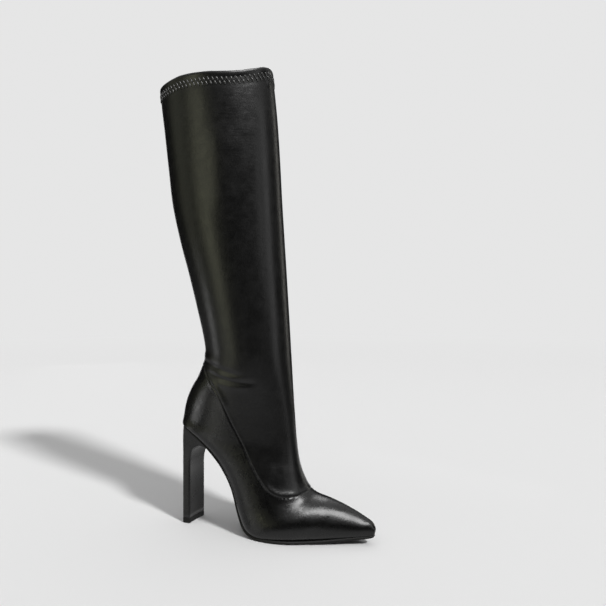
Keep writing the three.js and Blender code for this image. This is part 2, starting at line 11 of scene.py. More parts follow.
import bmesh
import bpy
import numpy as np
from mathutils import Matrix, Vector


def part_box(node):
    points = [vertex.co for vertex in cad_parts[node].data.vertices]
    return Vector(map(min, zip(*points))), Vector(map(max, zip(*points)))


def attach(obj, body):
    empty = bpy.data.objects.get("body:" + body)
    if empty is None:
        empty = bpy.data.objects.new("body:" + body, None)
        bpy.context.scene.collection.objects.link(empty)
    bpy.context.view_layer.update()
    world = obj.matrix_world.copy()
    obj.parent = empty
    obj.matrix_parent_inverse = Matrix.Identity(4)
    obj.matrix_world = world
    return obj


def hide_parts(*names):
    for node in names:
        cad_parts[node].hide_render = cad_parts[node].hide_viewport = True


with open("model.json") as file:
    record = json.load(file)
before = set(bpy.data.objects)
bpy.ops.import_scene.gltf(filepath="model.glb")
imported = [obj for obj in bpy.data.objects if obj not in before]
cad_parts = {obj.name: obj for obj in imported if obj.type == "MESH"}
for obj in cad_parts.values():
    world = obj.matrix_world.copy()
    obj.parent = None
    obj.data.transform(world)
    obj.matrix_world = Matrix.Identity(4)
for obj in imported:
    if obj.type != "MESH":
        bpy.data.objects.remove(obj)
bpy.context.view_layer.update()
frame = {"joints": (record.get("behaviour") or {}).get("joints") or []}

# ---- sizes ----

MM = 0.001
BOOT = "boot"
PULL = "pull"
HEEL_BACK = -7.2
HEEL_BREAST = 4.2
HEEL_HALF_WIDTH = 15.2
HEEL_CORNER = 3.0
HEEL_SHIFT = -0.9     # the heel tip's middle lies this far to the inner side
LIFT_LOW, LIFT_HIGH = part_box("top_lift")
# Boot frame to row frame: the heel tip's back edge and middle are known in both.
OFFSET = np.array([
    LIFT_LOW.x / MM - HEEL_BACK, (LIFT_LOW.y + LIFT_HIGH.y) / MM / 2 - HEEL_SHIFT, LIFT_LOW.z / MM,
])

WALL = 1.8
GAP = 0.3
BALL_HEIGHT = 3.3
HEM = 15.0
HEM_FOLD = 6.2                    # below the rim
HEM_STITCH_ROWS = (8.3, 12.6)
LIFT_THICKNESS = (LIFT_HIGH.z - LIFT_LOW.z) / MM

# ---- the last and the leg, as in the CAD ----
# front x, z | back x, z | place of the greatest width | outer, inner half widths | outer, inner
# half widths of the flat | roundness front, back | sideways shift front, back | dip | sole
COLUMNS = (
    "front_x front_z back_x back_z widest outer inner outer_flat inner_flat "
    "front_round back_round front_shift back_shift dip sole"
).split()
SECTIONS = [
    # leg, from the rim down to the ankle
    (94.0, 493, -38.5, 480, 0.50, 44.0, 44.0, 0, 0, 2.0, 2.0, 0, 0, 8, 0),
    (97.0, 470, -36.6, 460, 0.50, 44.3, 44.3, 0, 0, 2.0, 2.0, 0, 0, 5, 0),
    (100.7, 433, -32.3, 430, 0.50, 44.3, 44.3, 0, 0, 2.0, 2.0, 0, 0, 1, 0),
    (103.8, 390, -27.5, 390, 0.50, 44.2, 44.2, 0, 0, 2.0, 2.0, 0, 0, 0, 0),
    (106.0, 350, -22.5, 350, 0.50, 43.8, 43.8, 0, 0, 2.0, 2.0, 0, 0, 0, 0),
    (108.4, 310, -12.5, 310, 0.50, 42.8, 42.8, 0, 0, 2.0, 2.0, 0, 0, 0, 0),
    (110.8, 272, -0.7, 272, 0.51, 41.2, 41.2, 0, 0, 2.0, 2.0, 0, 0, 0, 0),
    (113.2, 236, 9.8, 236, 0.52, 39.3, 39.3, 0, 0, 2.0, 2.05, 0, 0, 0, 0),
    (115.2, 205, 18.0, 205, 0.53, 37.8, 37.8, 0, 0, 2.0, 2.1, 0, 0, 0, 0),
    (116.6, 184, 19.6, 186, 0.54, 37.0, 37.0, 0, 0, 2.0, 2.1, 0, 0, 0, 0),
    (118.4, 164, 11.2, 165, 0.54, 35.8, 35.5, 0, 0, 2.0, 2.1, 0, 0, 0, 0),
    (120.2, 145, 0.0, 148, 0.53, 34.0, 33.4, 0, 0, 2.0, 2.1, 0, 0, 0, 0),
    (122.0, 126, -7.3, 131, 0.52, 32.3, 31.3, 0, 0, 2.0, 2.1, 0, 0, 0, 0),
    (123.6, 108, -8.0, 117, 0.50, 31.3, 30.0, 5, 5, 2.0, 2.1, 0, 0, 0, 0),
    # seat and arch
    (125.0, 95, -5.5, 109.5, 0.48, 30.8, 29.2, 12, 12, 2.0, 2.2, 0, 0, 0, 1.5),
    (126.4, 85, 5.0, 105.6, 0.46, 30.5, 28.6, 20, 20, 2.0, 2.3, 0, 0, 0, 1.6),
    (128.0, 76, 20.0, 97.0, 0.44, 30.6, 28.4, 23, 22, 2.0, 2.3, 0, 0, 0, 2),
    (130.0, 68.5, 36.0, 83.3, 0.43, 31.0, 28.4, 21.5, 19, 2.0, 2.3, 0, 0, 0, 2.6),
    (132.4, 61, 50.0, 66.8, 0.43, 32.0, 29.0, 20, 16, 2.0, 2.3, 1, 0, 0, 3),
    (135.4, 54.5, 61.6, 46, 0.42, 33.2, 30.6, 20, 15.5, 1.95, 2.3, 1.5, 0, 0, 3),
    (139.5, 49.0, 70.6, 22, 0.40, 35.0, 32.6, 23, 18, 1.9, 2.2, 2, 0, 0, 3),
    # ball and toe
    (145.6, 45.2, 81.0, 8.0, 0.36, 37.0, 34.6, 29, 26, 1.85, 2.1, 2.5, 0, 0, 3),
    (153.4, 43.0, 96.0, 3.3, 0.30, 38.0, 35.8, 33, 31, 1.8, 2.1, 3, 0, 0, 3),
    (161.4, 41.1, 112.0, 3.3, 0.26, 36.5, 35.8, 33.5, 33.5, 1.75, 2.0, 3.5, 0, 0, 3),
    (170.0, 38.5, 129.0, 3.3, 0.25, 32.0, 33.0, 30, 31.5, 1.7, 2.0, 4, 0, 0, 3),
    (178.6, 35.4, 145.0, 3.6, 0.26, 26.0, 29.0, 24, 27, 1.7, 2.0, 4.5, 1, 0, 3),
    (186.4, 32.3, 160.0, 4.6, 0.28, 20.5, 23.6, 18.5, 21.5, 1.7, 2.0, 4.8, 1.5, 0, 3),
    (193.4, 29.2, 174.0, 6.0, 0.30, 16.0, 18.0, 14, 16, 1.75, 2.0, 5, 2.5, 0, 2.8),
    (199.6, 26.2, 187.0, 7.6, 0.34, 12.0, 13.0, 9.8, 10.8, 1.8, 2.0, 5, 3.2, 0, 2.5),
    (204.6, 23.9, 197.6, 8.6, 0.38, 8.6, 9.0, 6.4, 6.8, 1.9, 2.0, 4.5, 3.8, 0, 2.2),
    (207.7, 21.4, 204.8, 9.3, 0.42, 5.7, 5.9, 3.8, 4, 2.0, 2.0, 4.2, 4, 0, 1.8),
    (209.6, 18.0, 208.2, 10.0, 0.50, 3.2, 3.2, 1.8, 1.8, 2.0, 2.0, 4, 4, 0, 1.5),
]
COL = {name: k for k, name in enumerate(COLUMNS)}

# Seam between foot part and shaft, from the side: x, z. Its ends lie outside the leather.
SEAM = [
    (2, 177), (20, 175), (27.5, 172), (37, 162.5), (48.5, 148.5), (55, 137), (62.5, 121.5),
    (75.5, 98), (91, 70.5), (104.6, 52.8), (111.4, 47.8), (117.8, 45.2), (123, 44.6),
    (128.2, 44.9), (134, 46.4), (141, 49.5), (150, 56),
]
ZIP_LINE = [(61, 520), (61, 300), (61, 175), (60, 110), (61, 88), (65, 64), (70, 40)]
ZIP_BOTTOM = 47.0
ZIP_TOP = 288.0
SLOT_HALF = 3.3
ZIP_SEAM = 7.4            # the zip's stitches lie this far to each side of it
# How far the rim stands over its own plane: place from back to front, height.
RIM_LIFT = [
    (0, 0), (0.1, 1.8), (0.23, 4.3), (0.35, 6.3), (0.45, 6), (0.53, 5),
    (0.63, 3), (0.71, 0.5), (0.8, -2), (0.87, -3.2), (0.95, -2.6), (1, 0),
]
RIM_EASE = (440, 493)     # the rise and fall fades out from the rim down to this height

OUTER = -1      # lateral side, -Y
INNER = 1       # medial side, +Y

# ---- numbers and lines ----


def catmull_rows(rows, steps):
    """Rows of numbers with smooth rows added between them."""
    points = np.asarray(rows, float)
    ends = np.vstack([2 * points[0] - points[1], points, 2 * points[-1] - points[-2]])
    dense = []
    for i in range(len(points) - 1):
        a, b, c, d = ends[i:i + 4]
        for t in np.arange(steps) / steps:
            curve = 2 * a - 5 * b + 4 * c - d + t * (3 * b - a - 3 * c + d)
            dense.append(b + 0.5 * t * (c - a + t * curve))
    dense.append(points[-1])
    return np.array(dense)


def smoothstep(x, low, high):
    t = np.clip((x - low) / (high - low), 0, 1)
    return t * t * (3 - 2 * t)


def bell(distance, place, width):
    return np.exp(-((distance - place) / width) ** 2)


def lengths_along(points):
    """Distance along a polyline at each of its points."""
    steps = np.linalg.norm(np.diff(points, axis=0), axis=1)
    return np.concatenate([[0], np.cumsum(steps)])


def resample(points, places):
    """Points of a polyline at given distances along it."""
    reach = lengths_along(points)
    return np.stack([np.interp(places, reach, points[:, k]) for k in range(points.shape[1])], 1)


def distance_to(points, line):
    """Distance of each point to a polyline, and how far along it, 0 to 1, the nearest place is."""
    starts, spans = line[:-1], np.diff(line, axis=0)
    squares = np.maximum((spans ** 2).sum(1), 1e-12)
    reach = lengths_along(line)
    distance = np.empty(len(points))
    along = np.empty(len(points))
    chunk = 4000
    for k in range(0, len(points), chunk):
        p = points[k:k + chunk]
        offset = p[:, None, :] - starts[None]
        t = np.clip((offset * spans[None]).sum(2) / squares, 0, 1)
        gap = np.linalg.norm(offset - t[:, :, None] * spans[None], axis=2)
        best = gap.argmin(1)
        picked = np.arange(len(p))
        distance[k:k + chunk] = gap[picked, best]
        local = reach[best] + t[picked, best] * np.sqrt(squares[best])
        along[k:k + chunk] = local / reach[-1]
    return distance, along


# ---- the surface ----

ROW_STEPS = 16
ROWS = catmull_rows(SECTIONS, ROW_STEPS)
ROWS[:, COL["back_z"]] = np.maximum(ROWS[:, COL["back_z"]], BALL_HEIGHT)
QUARTER_POINTS = 40
FLAT_POINTS = 10
EVEN_POINTS = 161     # on each eased half section
EASING = 4.5          # spread of the smoothing, less on short sections
EASED_HALF_WIDTH = 15


def column(name):
    """One column of the table, down the whole boot."""
    return ROWS[:, COL[name]]


FRONT = np.stack([column("front_x"), column("front_z")], 1)
BACK = np.stack([column("back_x"), column("back_z")], 1)
SPAN = FRONT - BACK


def half_sections(side):
    """Half of every section, front to back: each point, how far it is inside the flat's edge, and
    its share of the way from back to front.
    """
    row = {name: column(name)[:, None] for name in COLUMNS}
    name = "inner" if side == INNER else "outer"
    width = row[name]
    flat = np.maximum(row[name + "_flat"], 0)
    length = np.linalg.norm(SPAN, axis=1)[:, None]
    middle = row["widest"] * length
    angle = np.linspace(0, np.pi / 2, QUARTER_POINTS)[None]
    cos, sin = np.maximum(np.cos(angle), 0), np.sin(angle)
    bend = 2 / row["front_round"]
    along_front = middle + (length - middle) * cos ** bend
    side_front = width * sin ** bend
    bend = 2 / row["back_round"]
    along_back = middle - middle * sin ** bend
    side_back = flat + (width - flat) * cos ** bend
    across = np.linspace(1, 0, FLAT_POINTS + 1)[None, 1:]
    side_flat = flat * across
    along = np.hstack([along_front, along_back[:, 1:], 0 * side_flat])
    sideways = np.hstack([side_front, side_back[:, 1:], side_flat])
    inside = np.hstack([0 * along_front, 0 * along_back[:, 1:], flat - side_flat])
    share = along / length
    shift = row["back_shift"] + (row["front_shift"] - row["back_shift"]) * share
    ahead = SPAN / length
    dip = row["dip"] * (sideways / row["outer"]) ** 2
    x = row["back_x"] + ahead[:, :1] * along
    near_rim = smoothstep(row["front_z"], *RIM_EASE)
    lift = near_rim * np.interp(share, *np.transpose(RIM_LIFT))
    z = row["back_z"] + ahead[:, 1:] * along - dip + lift
    return np.stack([x, side * sideways + shift, z], 2), inside, share


def eased(halves):
    """Half sections with the change of curve at their widest place smoothed over."""
    eased_rows = []
    for line, depth, ratio in zip(*halves):
        reach = lengths_along(line)
        total = reach[-1]
        places = np.linspace(0, total, EVEN_POINTS)
        even = resample(line, places)
        reach_of_easing = min(EASING, total / 14)
        sigma = reach_of_easing / total * (EVEN_POINTS - 1)
        steps = np.arange(-int(3 * sigma), int(3 * sigma) + 1)
        weights = bell(steps, 0, sigma * math.sqrt(2))
        weights /= weights.sum()
        padded = np.pad(even, ((len(steps) // 2,) * 2, (0, 0)), mode="edge")
        soft = np.stack([np.convolve(padded[:, k], weights, "valid") for k in range(3)], 1)
        widest = reach[QUARTER_POINTS - 1]
        blend = np.exp(-(((places - widest) / min(EASED_HALF_WIDTH, total / 6)) ** 4))[:, None]
        eased_rows.append((
            even + (soft - even) * blend,
            np.interp(places, reach, depth),
            np.interp(places, reach, ratio),
        ))
    return [np.array(part) for part in zip(*eased_rows)]


HALVES = {side: eased(half_sections(side)) for side in (OUTER, INNER)}


def side_point(x, z, side):
    """The surface's point on one side of the boot at a place seen from the side."""
    cross = SPAN[:, 0] * (z - BACK[:, 1]) - SPAN[:, 1] * (x - BACK[:, 0])
    k = int(np.argmax(cross >= 0)) if cross[0] < 0 else 0
    k = max(k, 1)
    t = cross[k - 1] / (cross[k - 1] - cross[k]) if cross[k - 1] != cross[k] else 0.0
    t = min(max(t, 0.0), 1.0)
    points, _, shares = HALVES[side]
    found = []
    for r in (k - 1, k):
        share = (np.array([x, z]) - BACK[r]) @ SPAN[r] / (SPAN[r] @ SPAN[r])
        order = np.argsort(shares[r], kind="stable")
        found.append(np.interp(share, shares[r][order], points[r, order, 1]))
    return np.array([x, found[0] + (found[1] - found[0]) * t, z])


def side_frame(x, z, side):
    """Point, outward normal and upward direction on one side of the boot."""
    step = 3.0
    point = side_point(x, z, side)
    ahead = side_point(x + step, z, side) - side_point(x - step, z, side)
    up = side_point(x, z + step, side) - side_point(x, z - step, side)
    normal = np.cross(up, ahead) * side
    return point, normal / np.linalg.norm(normal), up / np.linalg.norm(up)


def side_line(places, side, spacing=2.0):
    """3-D line on one side of the boot through places seen from the side."""
    flat = catmull_rows(places, 8)
    flat = resample(flat, np.arange(0, lengths_along(flat)[-1], spacing))
    return np.array([side_point(x, z, side) for x, z in flat])


# Columns of the mesh run from rim to toe. On the inner side they gather at the zip.
SEAM_STEPS = np.array([0.35, 0.7, 1.05, 1.5, 2.1, 2.9, 3.9])
OUTER_EVEN = 110
OUTER_COLUMNS = OUTER_EVEN + len(SEAM_STEPS)
ZIP_STEPS = np.array([
    -12, -10.6, -9.4, -8.4, -7.6, -6.8, -6.0, -5.2, -4.6, -4.1, -3.7, -SLOT_HALF, 0,
    SLOT_HALF, 3.7, 4.1, 4.6, 5.2, 6.0, 6.8, 7.6, 8.4, 9.4, 10.6, 12,
])
BEFORE_ZIP = 34
AFTER_ZIP = 66
FULL_STEPS_FROM = 80     # the steps shrink on half sections shorter than this


def zip_share():
    """For each row, the share of the way from back to front at which the zip's line crosses it."""
    line = catmull_rows(ZIP_LINE[1:], 8)
    line = np.vstack([[ZIP_LINE[0]], line])
    shares = []
    for back, span in zip(BACK, SPAN):
        cross = span[0] * (line[:, 1] - back[1]) - span[1] * (line[:, 0] - back[0])
        below = np.argmax(cross < 0)
        if cross[0] < 0 or below == 0:
            shares.append(None)
            continue
        t = cross[below - 1] / (cross[below - 1] - cross[below])
        hit = line[below - 1] + (line[below] - line[below - 1]) * t
        shares.append(((hit - back) @ span) / (span @ span))
    return shares


def at_places(points, inside, places):
    """A half section's points, and its depths inside the flat, at distances along it."""
    return resample(points, places), np.interp(places, lengths_along(points), inside)


def columns_of_rows():
    """Every row resampled at the mesh's columns: points, distance inside the flat's edge."""
    inner_points, inner_inside, inner_share = HALVES[INNER]
    grid, inside = [], []
    held = None
    for r, zip_place in enumerate(zip_share()):
        points, depths = HALVES[OUTER][0][r], HALVES[OUTER][1][r]
        total = lengths_along(points)[-1]
        near_seam = total - SEAM_STEPS[::-1] * min(1.0, total / FULL_STEPS_FROM)
        evenly = np.linspace(0, near_seam[0], OUTER_EVEN + 1)[:-1]
        outer, outer_in = at_places(points, depths, np.concatenate([evenly, near_seam, [total]]))
        reach = lengths_along(inner_points[r])
        total = reach[-1]
        shrink = min(1.0, total / FULL_STEPS_FROM)
        if zip_place is not None:
            order = np.argsort(inner_share[r], kind="stable")
            held = np.interp(zip_place, inner_share[r][order], reach[order]) / total
        steps = held * total + ZIP_STEPS * shrink
        near_seam = total - SEAM_STEPS[::-1] * shrink
        places = np.concatenate([
            np.linspace(0, steps[0], BEFORE_ZIP + 1)[:-1], steps,
            np.linspace(steps[-1], near_seam[0], AFTER_ZIP + 1)[1:-1], near_seam, [total],
        ])
        inner, inner_in = at_places(inner_points[r], inner_inside[r], places)
        grid.append(np.vstack([outer, inner[1:-1][::-1]]))
        inside.append(np.concatenate([outer_in, inner_in[1:-1][::-1]]))
    return np.array(grid), np.array(inside)


GRID, INSIDE = columns_of_rows()
AROUND = GRID.shape[1]
# Column numbers of the zip's middle and of the slot's two edges.
ZIP_COLUMN = AROUND - BEFORE_ZIP - int(np.argmin(abs(ZIP_STEPS)))
SLOT_COLUMNS = (ZIP_COLUMN - 1, ZIP_COLUMN + 1)


# Closes the seam's outline round the leg, well outside it: x, z.
BEYOND_SHAFT = [(300, 60), (300, 700), (-100, 700), (-100, 177)]


def shaft_side(points):
    """True where a place seen from the side is on the shaft's side of the seam."""
    seam = catmull_rows(SEAM, 6)
    outline = np.vstack([seam, BEYOND_SHAFT])
    x, z = points[..., 0], points[..., 2]
    inside = np.zeros(x.shape, bool)
    for (x0, z0), (x1, z1) in zip(outline, np.roll(outline, -1, axis=0)):
        if z0 == z1:
            continue
        crosses = (z0 > z) != (z1 > z)
        inside ^= crosses & (x < x0 + (x1 - x0) * (z - z0) / (z1 - z0))
    return inside


REACH = np.array([lengths_along(GRID[:, j]) for j in range(AROUND)])


def column_points(distances):
    """Points at distances along the columns: one row of distances for each row of points."""
    out = np.empty((len(distances), AROUND, 3))
    for j in range(AROUND):
        for k in range(3):
            out[:, j, k] = np.interp(distances[:, j], REACH[j], GRID[:, j, k])
    return out


def inside_at(distances):
    return np.stack([
        np.interp(distances[:, j], REACH[j], INSIDE[:, j]) for j in range(AROUND)
    ], 1)


def grid_normals(points):
    """Outward normals of a closed-round grid of points."""
    along = np.gradient(points, axis=0)
    around = (np.roll(points, -1, axis=1) - np.roll(points, 1, axis=1)) / 2
    normal = np.cross(around, along)
    normal /= np.maximum(np.linalg.norm(normal, axis=2, keepdims=True), 1e-9)
    centre = points.mean(axis=1, keepdims=True)
    if ((points - centre) * normal).sum() < 0:
        normal = -normal
    return normal


SEAM_RING = np.vstack([side_line(SEAM, OUTER), side_line(SEAM, INNER)[::-1]])
RIM_RING = np.vstack([GRID[0], GRID[0][:1]])
ZIP_3D = side_line([(x, z) for x, z in ZIP_LINE[1:]], INNER)
BACK_SEAM = GRID[:, OUTER_COLUMNS]

# ---- creases and folds ----
THROAT = [(104, 57.5), (110, 51.4), (117, 48.2), (123, 47.2), (129, 47.5), (135, 49.2)]
# side, height (+ ridge, - trough), half width, places seen from the side
FOLDS = [
    # two folds running forward from the back of the ankle
    (OUTER, -1.1, 3.0, [(20, 180.5), (34, 178), (50, 174), (66, 169.4), (84, 167)]),
    (OUTER, 0.7, 2.6, [(30, 174.5), (44, 170.6), (58, 166.4), (74, 163.4)]),
    (OUTER, -1.2, 2.6, [(28, 172.8), (42, 168), (58, 163.4), (76, 160.4), (96, 160)]),
    (OUTER, 0.5, 3.2, [(20, 187), (32, 184.6), (46, 181)]),
    (OUTER, 0.45, 3.4, [(42, 162.4), (56, 157.6), (72, 155.6), (88, 156)]),
    (INNER, -1.1, 3.0, [(20, 180), (32, 178), (46, 174)]),
    (INNER, 0.6, 2.6, [(24, 175.5), (34, 172.6), (46, 168)]),
    (INNER, -1.0, 2.6, [(26, 172), (38, 167), (50, 162)]),
    # raised fold in front of the seam
    (OUTER, 1.0, 3.0, [(35, 168), (41.5, 161.5), (50, 151), (57, 139), (62, 129)]),
    (INNER, 0.8, 3.0, [(35, 168), (41.5, 161.5), (50, 151)]),
    # shaft puffed up over the bottom of the throat
    (OUTER, 1.1, 3.0, THROAT),
    (INNER, 1.1, 3.0, THROAT),
    # pucker at the hem's front corner, and the calf's slow swell
    (OUTER, 1.2, 1.8, [(93.7, 491), (94.9, 481), (96.4, 470)]),
    (OUTER, 1.2, 16.0, [(58, 430), (62, 385), (62, 330)]),
    # bumps beside the foot of the zip
    (INNER, 1.6, 1.7, [(73, 118.5), (78, 116), (83, 117)]),
    (INNER, -0.9, 1.8, [(73, 112), (79, 110), (84, 110.5)]),
    (INNER, 1.8, 1.8, [(73, 104.5), (79, 102), (84, 103)]),
    (INNER, -0.8, 1.8, [(74, 97), (80, 95), (85, 96)]),
    # leather gathered along the zip and over its top
    (INNER, 1.0, 1.5, [(47.6, 196), (47.4, 240), (47.8, 270), (49.6, 285), (54.5, 294), (62, 297)]),
    (INNER, 0.7, 1.2, [(60, 301.5), (68, 302), (78, 300.5)]),
    (INNER, 0.6, 1.3, [(74, 276), (73.6, 236), (73.8, 196), (74, 150)]),
    (INNER, -0.6, 1.3, [(77.4, 284), (77.2, 240), (77.4, 200), (77.2, 160)]),
    (INNER, 0.9, 1.6, [(49.6, 168), (49.8, 140), (51, 112), (54, 96)]),
    (INNER, -0.6, 1.4, [(46, 165), (46.4, 140), (47.6, 116)]),
    (INNER, 0.6, 1.1, [(56, 285), (58.5, 281), (57, 276)]),
    (INNER, 0.6, 1.1, [(67, 288), (70.5, 283.5), (69.5, 277)]),
]
FOLD_LINES = [
    (side, height, width, side_line(places, side, 1.5)) for side, height, width, places in FOLDS
]


def waves(points):
    """Slow unevenness of soft leather that stands by itself."""
    x, y, z = points.T
    leg = smoothstep(z, 120, 220)
    swell = np.sin(x / 17 + z / 71 + 0.6) * np.cos(y / 23 - z / 49 + 1.1)
    ripple = np.sin(z / 23 + x / 31) * np.sin(y / 19 + x / 43 + 0.4)
    return leg * (0.30 * swell + 0.16 * ripple) * (1 - 0.6 * smoothstep(z, 440, 480))


def relief(points):
    """How far the finished leather stands off the plain surface at each point, in mm."""
    rise = waves(points)
    side_of = np.where(points[:, 1] < 0, OUTER, INNER)
    for side, height, width, line in FOLD_LINES:
        low = line.min(0) - 4 * width
        high = line.max(0) + 4 * width
        near = (side_of == side) & (points > low).all(1) & (points < high).all(1)
        if not near.any():
            continue
        distance, along = distance_to(points[near], line)
        ends = np.minimum(1, np.sin(np.pi * np.clip(along, 0, 1)) * 1.6)
        rise[near] += height * ends * bell(distance, 0, width)
    distance, along = distance_to(points, SEAM_RING)
    along *= lengths_along(SEAM_RING)[-1]
    near_throat = smoothstep(points[:, 0], 92, 112) * smoothstep(-points[:, 2], -66, -52)
    faint = 1 - 0.8 * smoothstep(points[:, 0], 132, 145)     # the seam fades at the front
    above = shaft_side(points)
    puckers = np.where(above, 0.14, 0) * near_throat * np.cos(along * 2.7 + 0.8 * np.sin(along * 0.9))
    rise += faint * puckers * bell(distance, 4.5, 2.6)
    rise += faint * np.where(above, 0.24, 0.10) * bell(distance, 1.9, 1.2)
    rise -= faint * 0.55 * bell(distance, 0, 0.85)
    distance, _ = distance_to(points, BACK_SEAM[::4])
    rise += 0.22 * bell(distance, 1.6, 0.9) - 0.55 * bell(distance, 0, 0.7)
    return rise + hem_relief(points) + zip_relief(points)


def hem_relief(points):
    """Folded edge under the rim, drawn in where its two rows of stitches begin."""
    rise = np.zeros(len(points))
    near = points[:, 2] > 440
    depth, _ = distance_to(points[near], RIM_RING)
    fold = 0.4 * (1 - smoothstep(depth, HEM_FOLD - 1.2, HEM_FOLD + 0.8))
    roll = 0.35 * bell(depth, 2.8, 2.2)
    pull = -0.12 * bell(depth, HEM_STITCH_ROWS[1] + 1.5, 3.0)
    rise[near] = fold + roll + pull
    return rise


def zip_relief(points):
    """Leather turned in along the zip, and the sewn frame round it."""
    rise = np.zeros(len(points))
    near = (points[:, 1] > 5) & (points[:, 2] < 320) & (abs(points[:, 0] - 66) < 40)
    p = points[near]
    distance, _ = distance_to(p, ZIP_3D)
    z = p[:, 2]
    reach = smoothstep(z, ZIP_BOTTOM - 4, ZIP_BOTTOM + 2) * smoothstep(-z, -ZIP_TOP - 4, -ZIP_TOP)
    edge = 0.8 * bell(distance, 5.2, 1.3) - 0.9 * bell(distance, SLOT_HALF, 0.9)
    rise[near] = (edge - 0.35 * bell(distance, ZIP_SEAM, 0.8)) * reach
    frame_distance, _ = distance_to(p, PLACKET_3D)
    rise[near] += 0.6 * bell(frame_distance, 1.5, 1.0) - 0.5 * bell(frame_distance, 0, 0.7)
    return rise


# Stitched frame round the zip, on the inner side: up behind it, over the top, down in front.
PLACKET = [
    (52.6, 205), (52.6, 240), (52.7, 270), (53.4, 284), (56, 289.4), (61, 291.8), (70, 292),
    (78, 291.6), (81, 290), (81.3, 286), (81.2, 260), (81.4, 220), (81.6, 180), (81.4, 150), (81, 122),
]
PLACKET_3D = side_line(PLACKET, INNER, 1.5)

# ---- mesh helpers ----


def place(points):
    """Boot frame in millimetres to row frame in metres."""
    return (np.asarray(points, float) + OFFSET) * MM


def add_object(name, vertices, faces, material, body=BOOT):
    """Mesh object from boot-frame points, riding on a CAD body."""
    mesh = bpy.data.meshes.new(name)
    mesh.from_pydata(place(vertices).tolist(), [], faces)
    mesh.validate()
    mesh.polygons.foreach_set("use_smooth", [True] * len(mesh.polygons))
    mesh.materials.append(material)
    obj = bpy.data.objects.new(name, mesh)
    bpy.context.scene.collection.objects.link(obj)
    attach(obj, body)
    return obj


def grid_faces(rows, around, closed=True, keep=None):
    """Quads of a grid; keep is a mask, one value for each quad."""
    last = around if closed else around - 1
    faces = []
    for i in range(rows - 1):
        for j in range(last):
            if keep is not None and not keep[i, j]:
                continue
            a, b = i * around + j, i * around + (j + 1) % around
            faces.append((a, a + around, b + around, b))
    return faces


def loft(loops):
    """Vertices and faces of a solid through equal loops, closed at both ends."""
    around = len(loops[0])
    count = len(loops) * around
    ends = [tuple(range(around)), tuple(reversed(range(count - around, count)))]
    return np.array(loops, float).reshape(-1, 3), grid_faces(len(loops), around) + ends


def recalculate(obj):
    """Faces turned to point out of the piece."""
    mesh = bmesh.new()
    mesh.from_mesh(obj.data)
    bmesh.ops.recalc_face_normals(mesh, faces=mesh.faces)
    mesh.to_mesh(obj.data)
    mesh.free()


# ---- materials ----


def fill_inputs(tree, node, values):
    """Inputs of a node, by name or number, set to numbers or joined to other nodes' outputs."""
    for name, value in values.items():
        if isinstance(value, bpy.types.NodeSocket):
            tree.links.new(value, node.inputs[name])
        else:
            node.inputs[name].default_value = value


def add_node(tree, kind, values, **settings):
    node = tree.nodes.new("ShaderNode" + kind)
    for name, value in settings.items():
        setattr(node, name, value)
    fill_inputs(tree, node, values)
    return node


def new_material(name):
    """Material, its node tree, its shader, and the place on the piece."""
    material = bpy.data.materials.new(name)
    material.use_nodes = True
    tree = material.node_tree
    where = add_node(tree, "TexCoord", {}).outputs["Object"]
    return material, tree, tree.nodes["Principled BSDF"], where


def noise(tree, where, size_mm, detail, roughness, distortion=0.0):
    values = {"Vector": where, "Scale": 1000 / size_mm, "Detail": detail}
    values |= {"Roughness": roughness, "Distortion": distortion}
    return add_node(tree, "TexNoise", values).outputs["Fac"]


def ramp(tree, value, low, high, from_low=0.3, from_high=0.7, **settings):
    values = {"Value": value, "To Min": low, "To Max": high, "From Min": from_low, "From Max": from_high}
    return add_node(tree, "MapRange", values, **settings).outputs["Result"]


def tones(tree, value, first, second):
    node = add_node(tree, "ValToRGB", {"Fac": value})
    for k, (position, colour) in enumerate(((0.3, first), (0.7, second))):
        node.color_ramp.elements[k].position = position
        node.color_ramp.elements[k].color = (*colour, 1)
    return node.outputs["Color"]


def bump(tree, height, depth_mm, strength, below=None):
    values = {"Height": height, "Distance": depth_mm * MM, "Strength": strength}
    if below is not None:
        values["Normal"] = below
    return add_node(tree, "Bump", values).outputs["Normal"]


def leather_material(name, roughness, mottle_mm, lines_mm):
    """Smooth black leather: fine pebbled grain, soft unevenness, faint cloudiness of the finish."""
    material, tree, shader, where = new_material(name)
    cloud = noise(tree, where, 38, 4, 0.55)
    patch = noise(tree, where, 9, 5, 0.6)
    pebbles = {"Vector": where, "Scale": 1000 / 0.9, "Smoothness": 0.6}
    cells = add_node(tree, "TexVoronoi", pebbles, feature="SMOOTH_F1").outputs["Distance"]
    long_ways = {"Vector": where, "Scale": (0.14, 0.14, 1.0)}
    squeezed = add_node(tree, "Mapping", long_ways).outputs["Vector"]
    normal = bump(tree, cells, 0.05, 0.5)
    normal = bump(tree, noise(tree, where, 2.4, 2, 0.5), mottle_mm, 0.5, normal)
    normal = bump(tree, noise(tree, squeezed, 2.0, 2, 0.5), lines_mm, 0.5, normal)
    normal = bump(tree, noise(tree, where, 5.5, 3, 0.5, 0.4), 0.30, 0.5, normal)
    fill_inputs(tree, shader, {
        "Base Color": tones(tree, cloud, (0.0016, 0.0016, 0.0016), (0.0028, 0.0028, 0.0027)),
        "Roughness": ramp(tree, patch, roughness - 0.05, roughness + 0.06), "Normal": normal,
        "Specular IOR Level": 0.5, "Coat Weight": 0.12, "Coat Roughness": 0.22,
    })
    return material


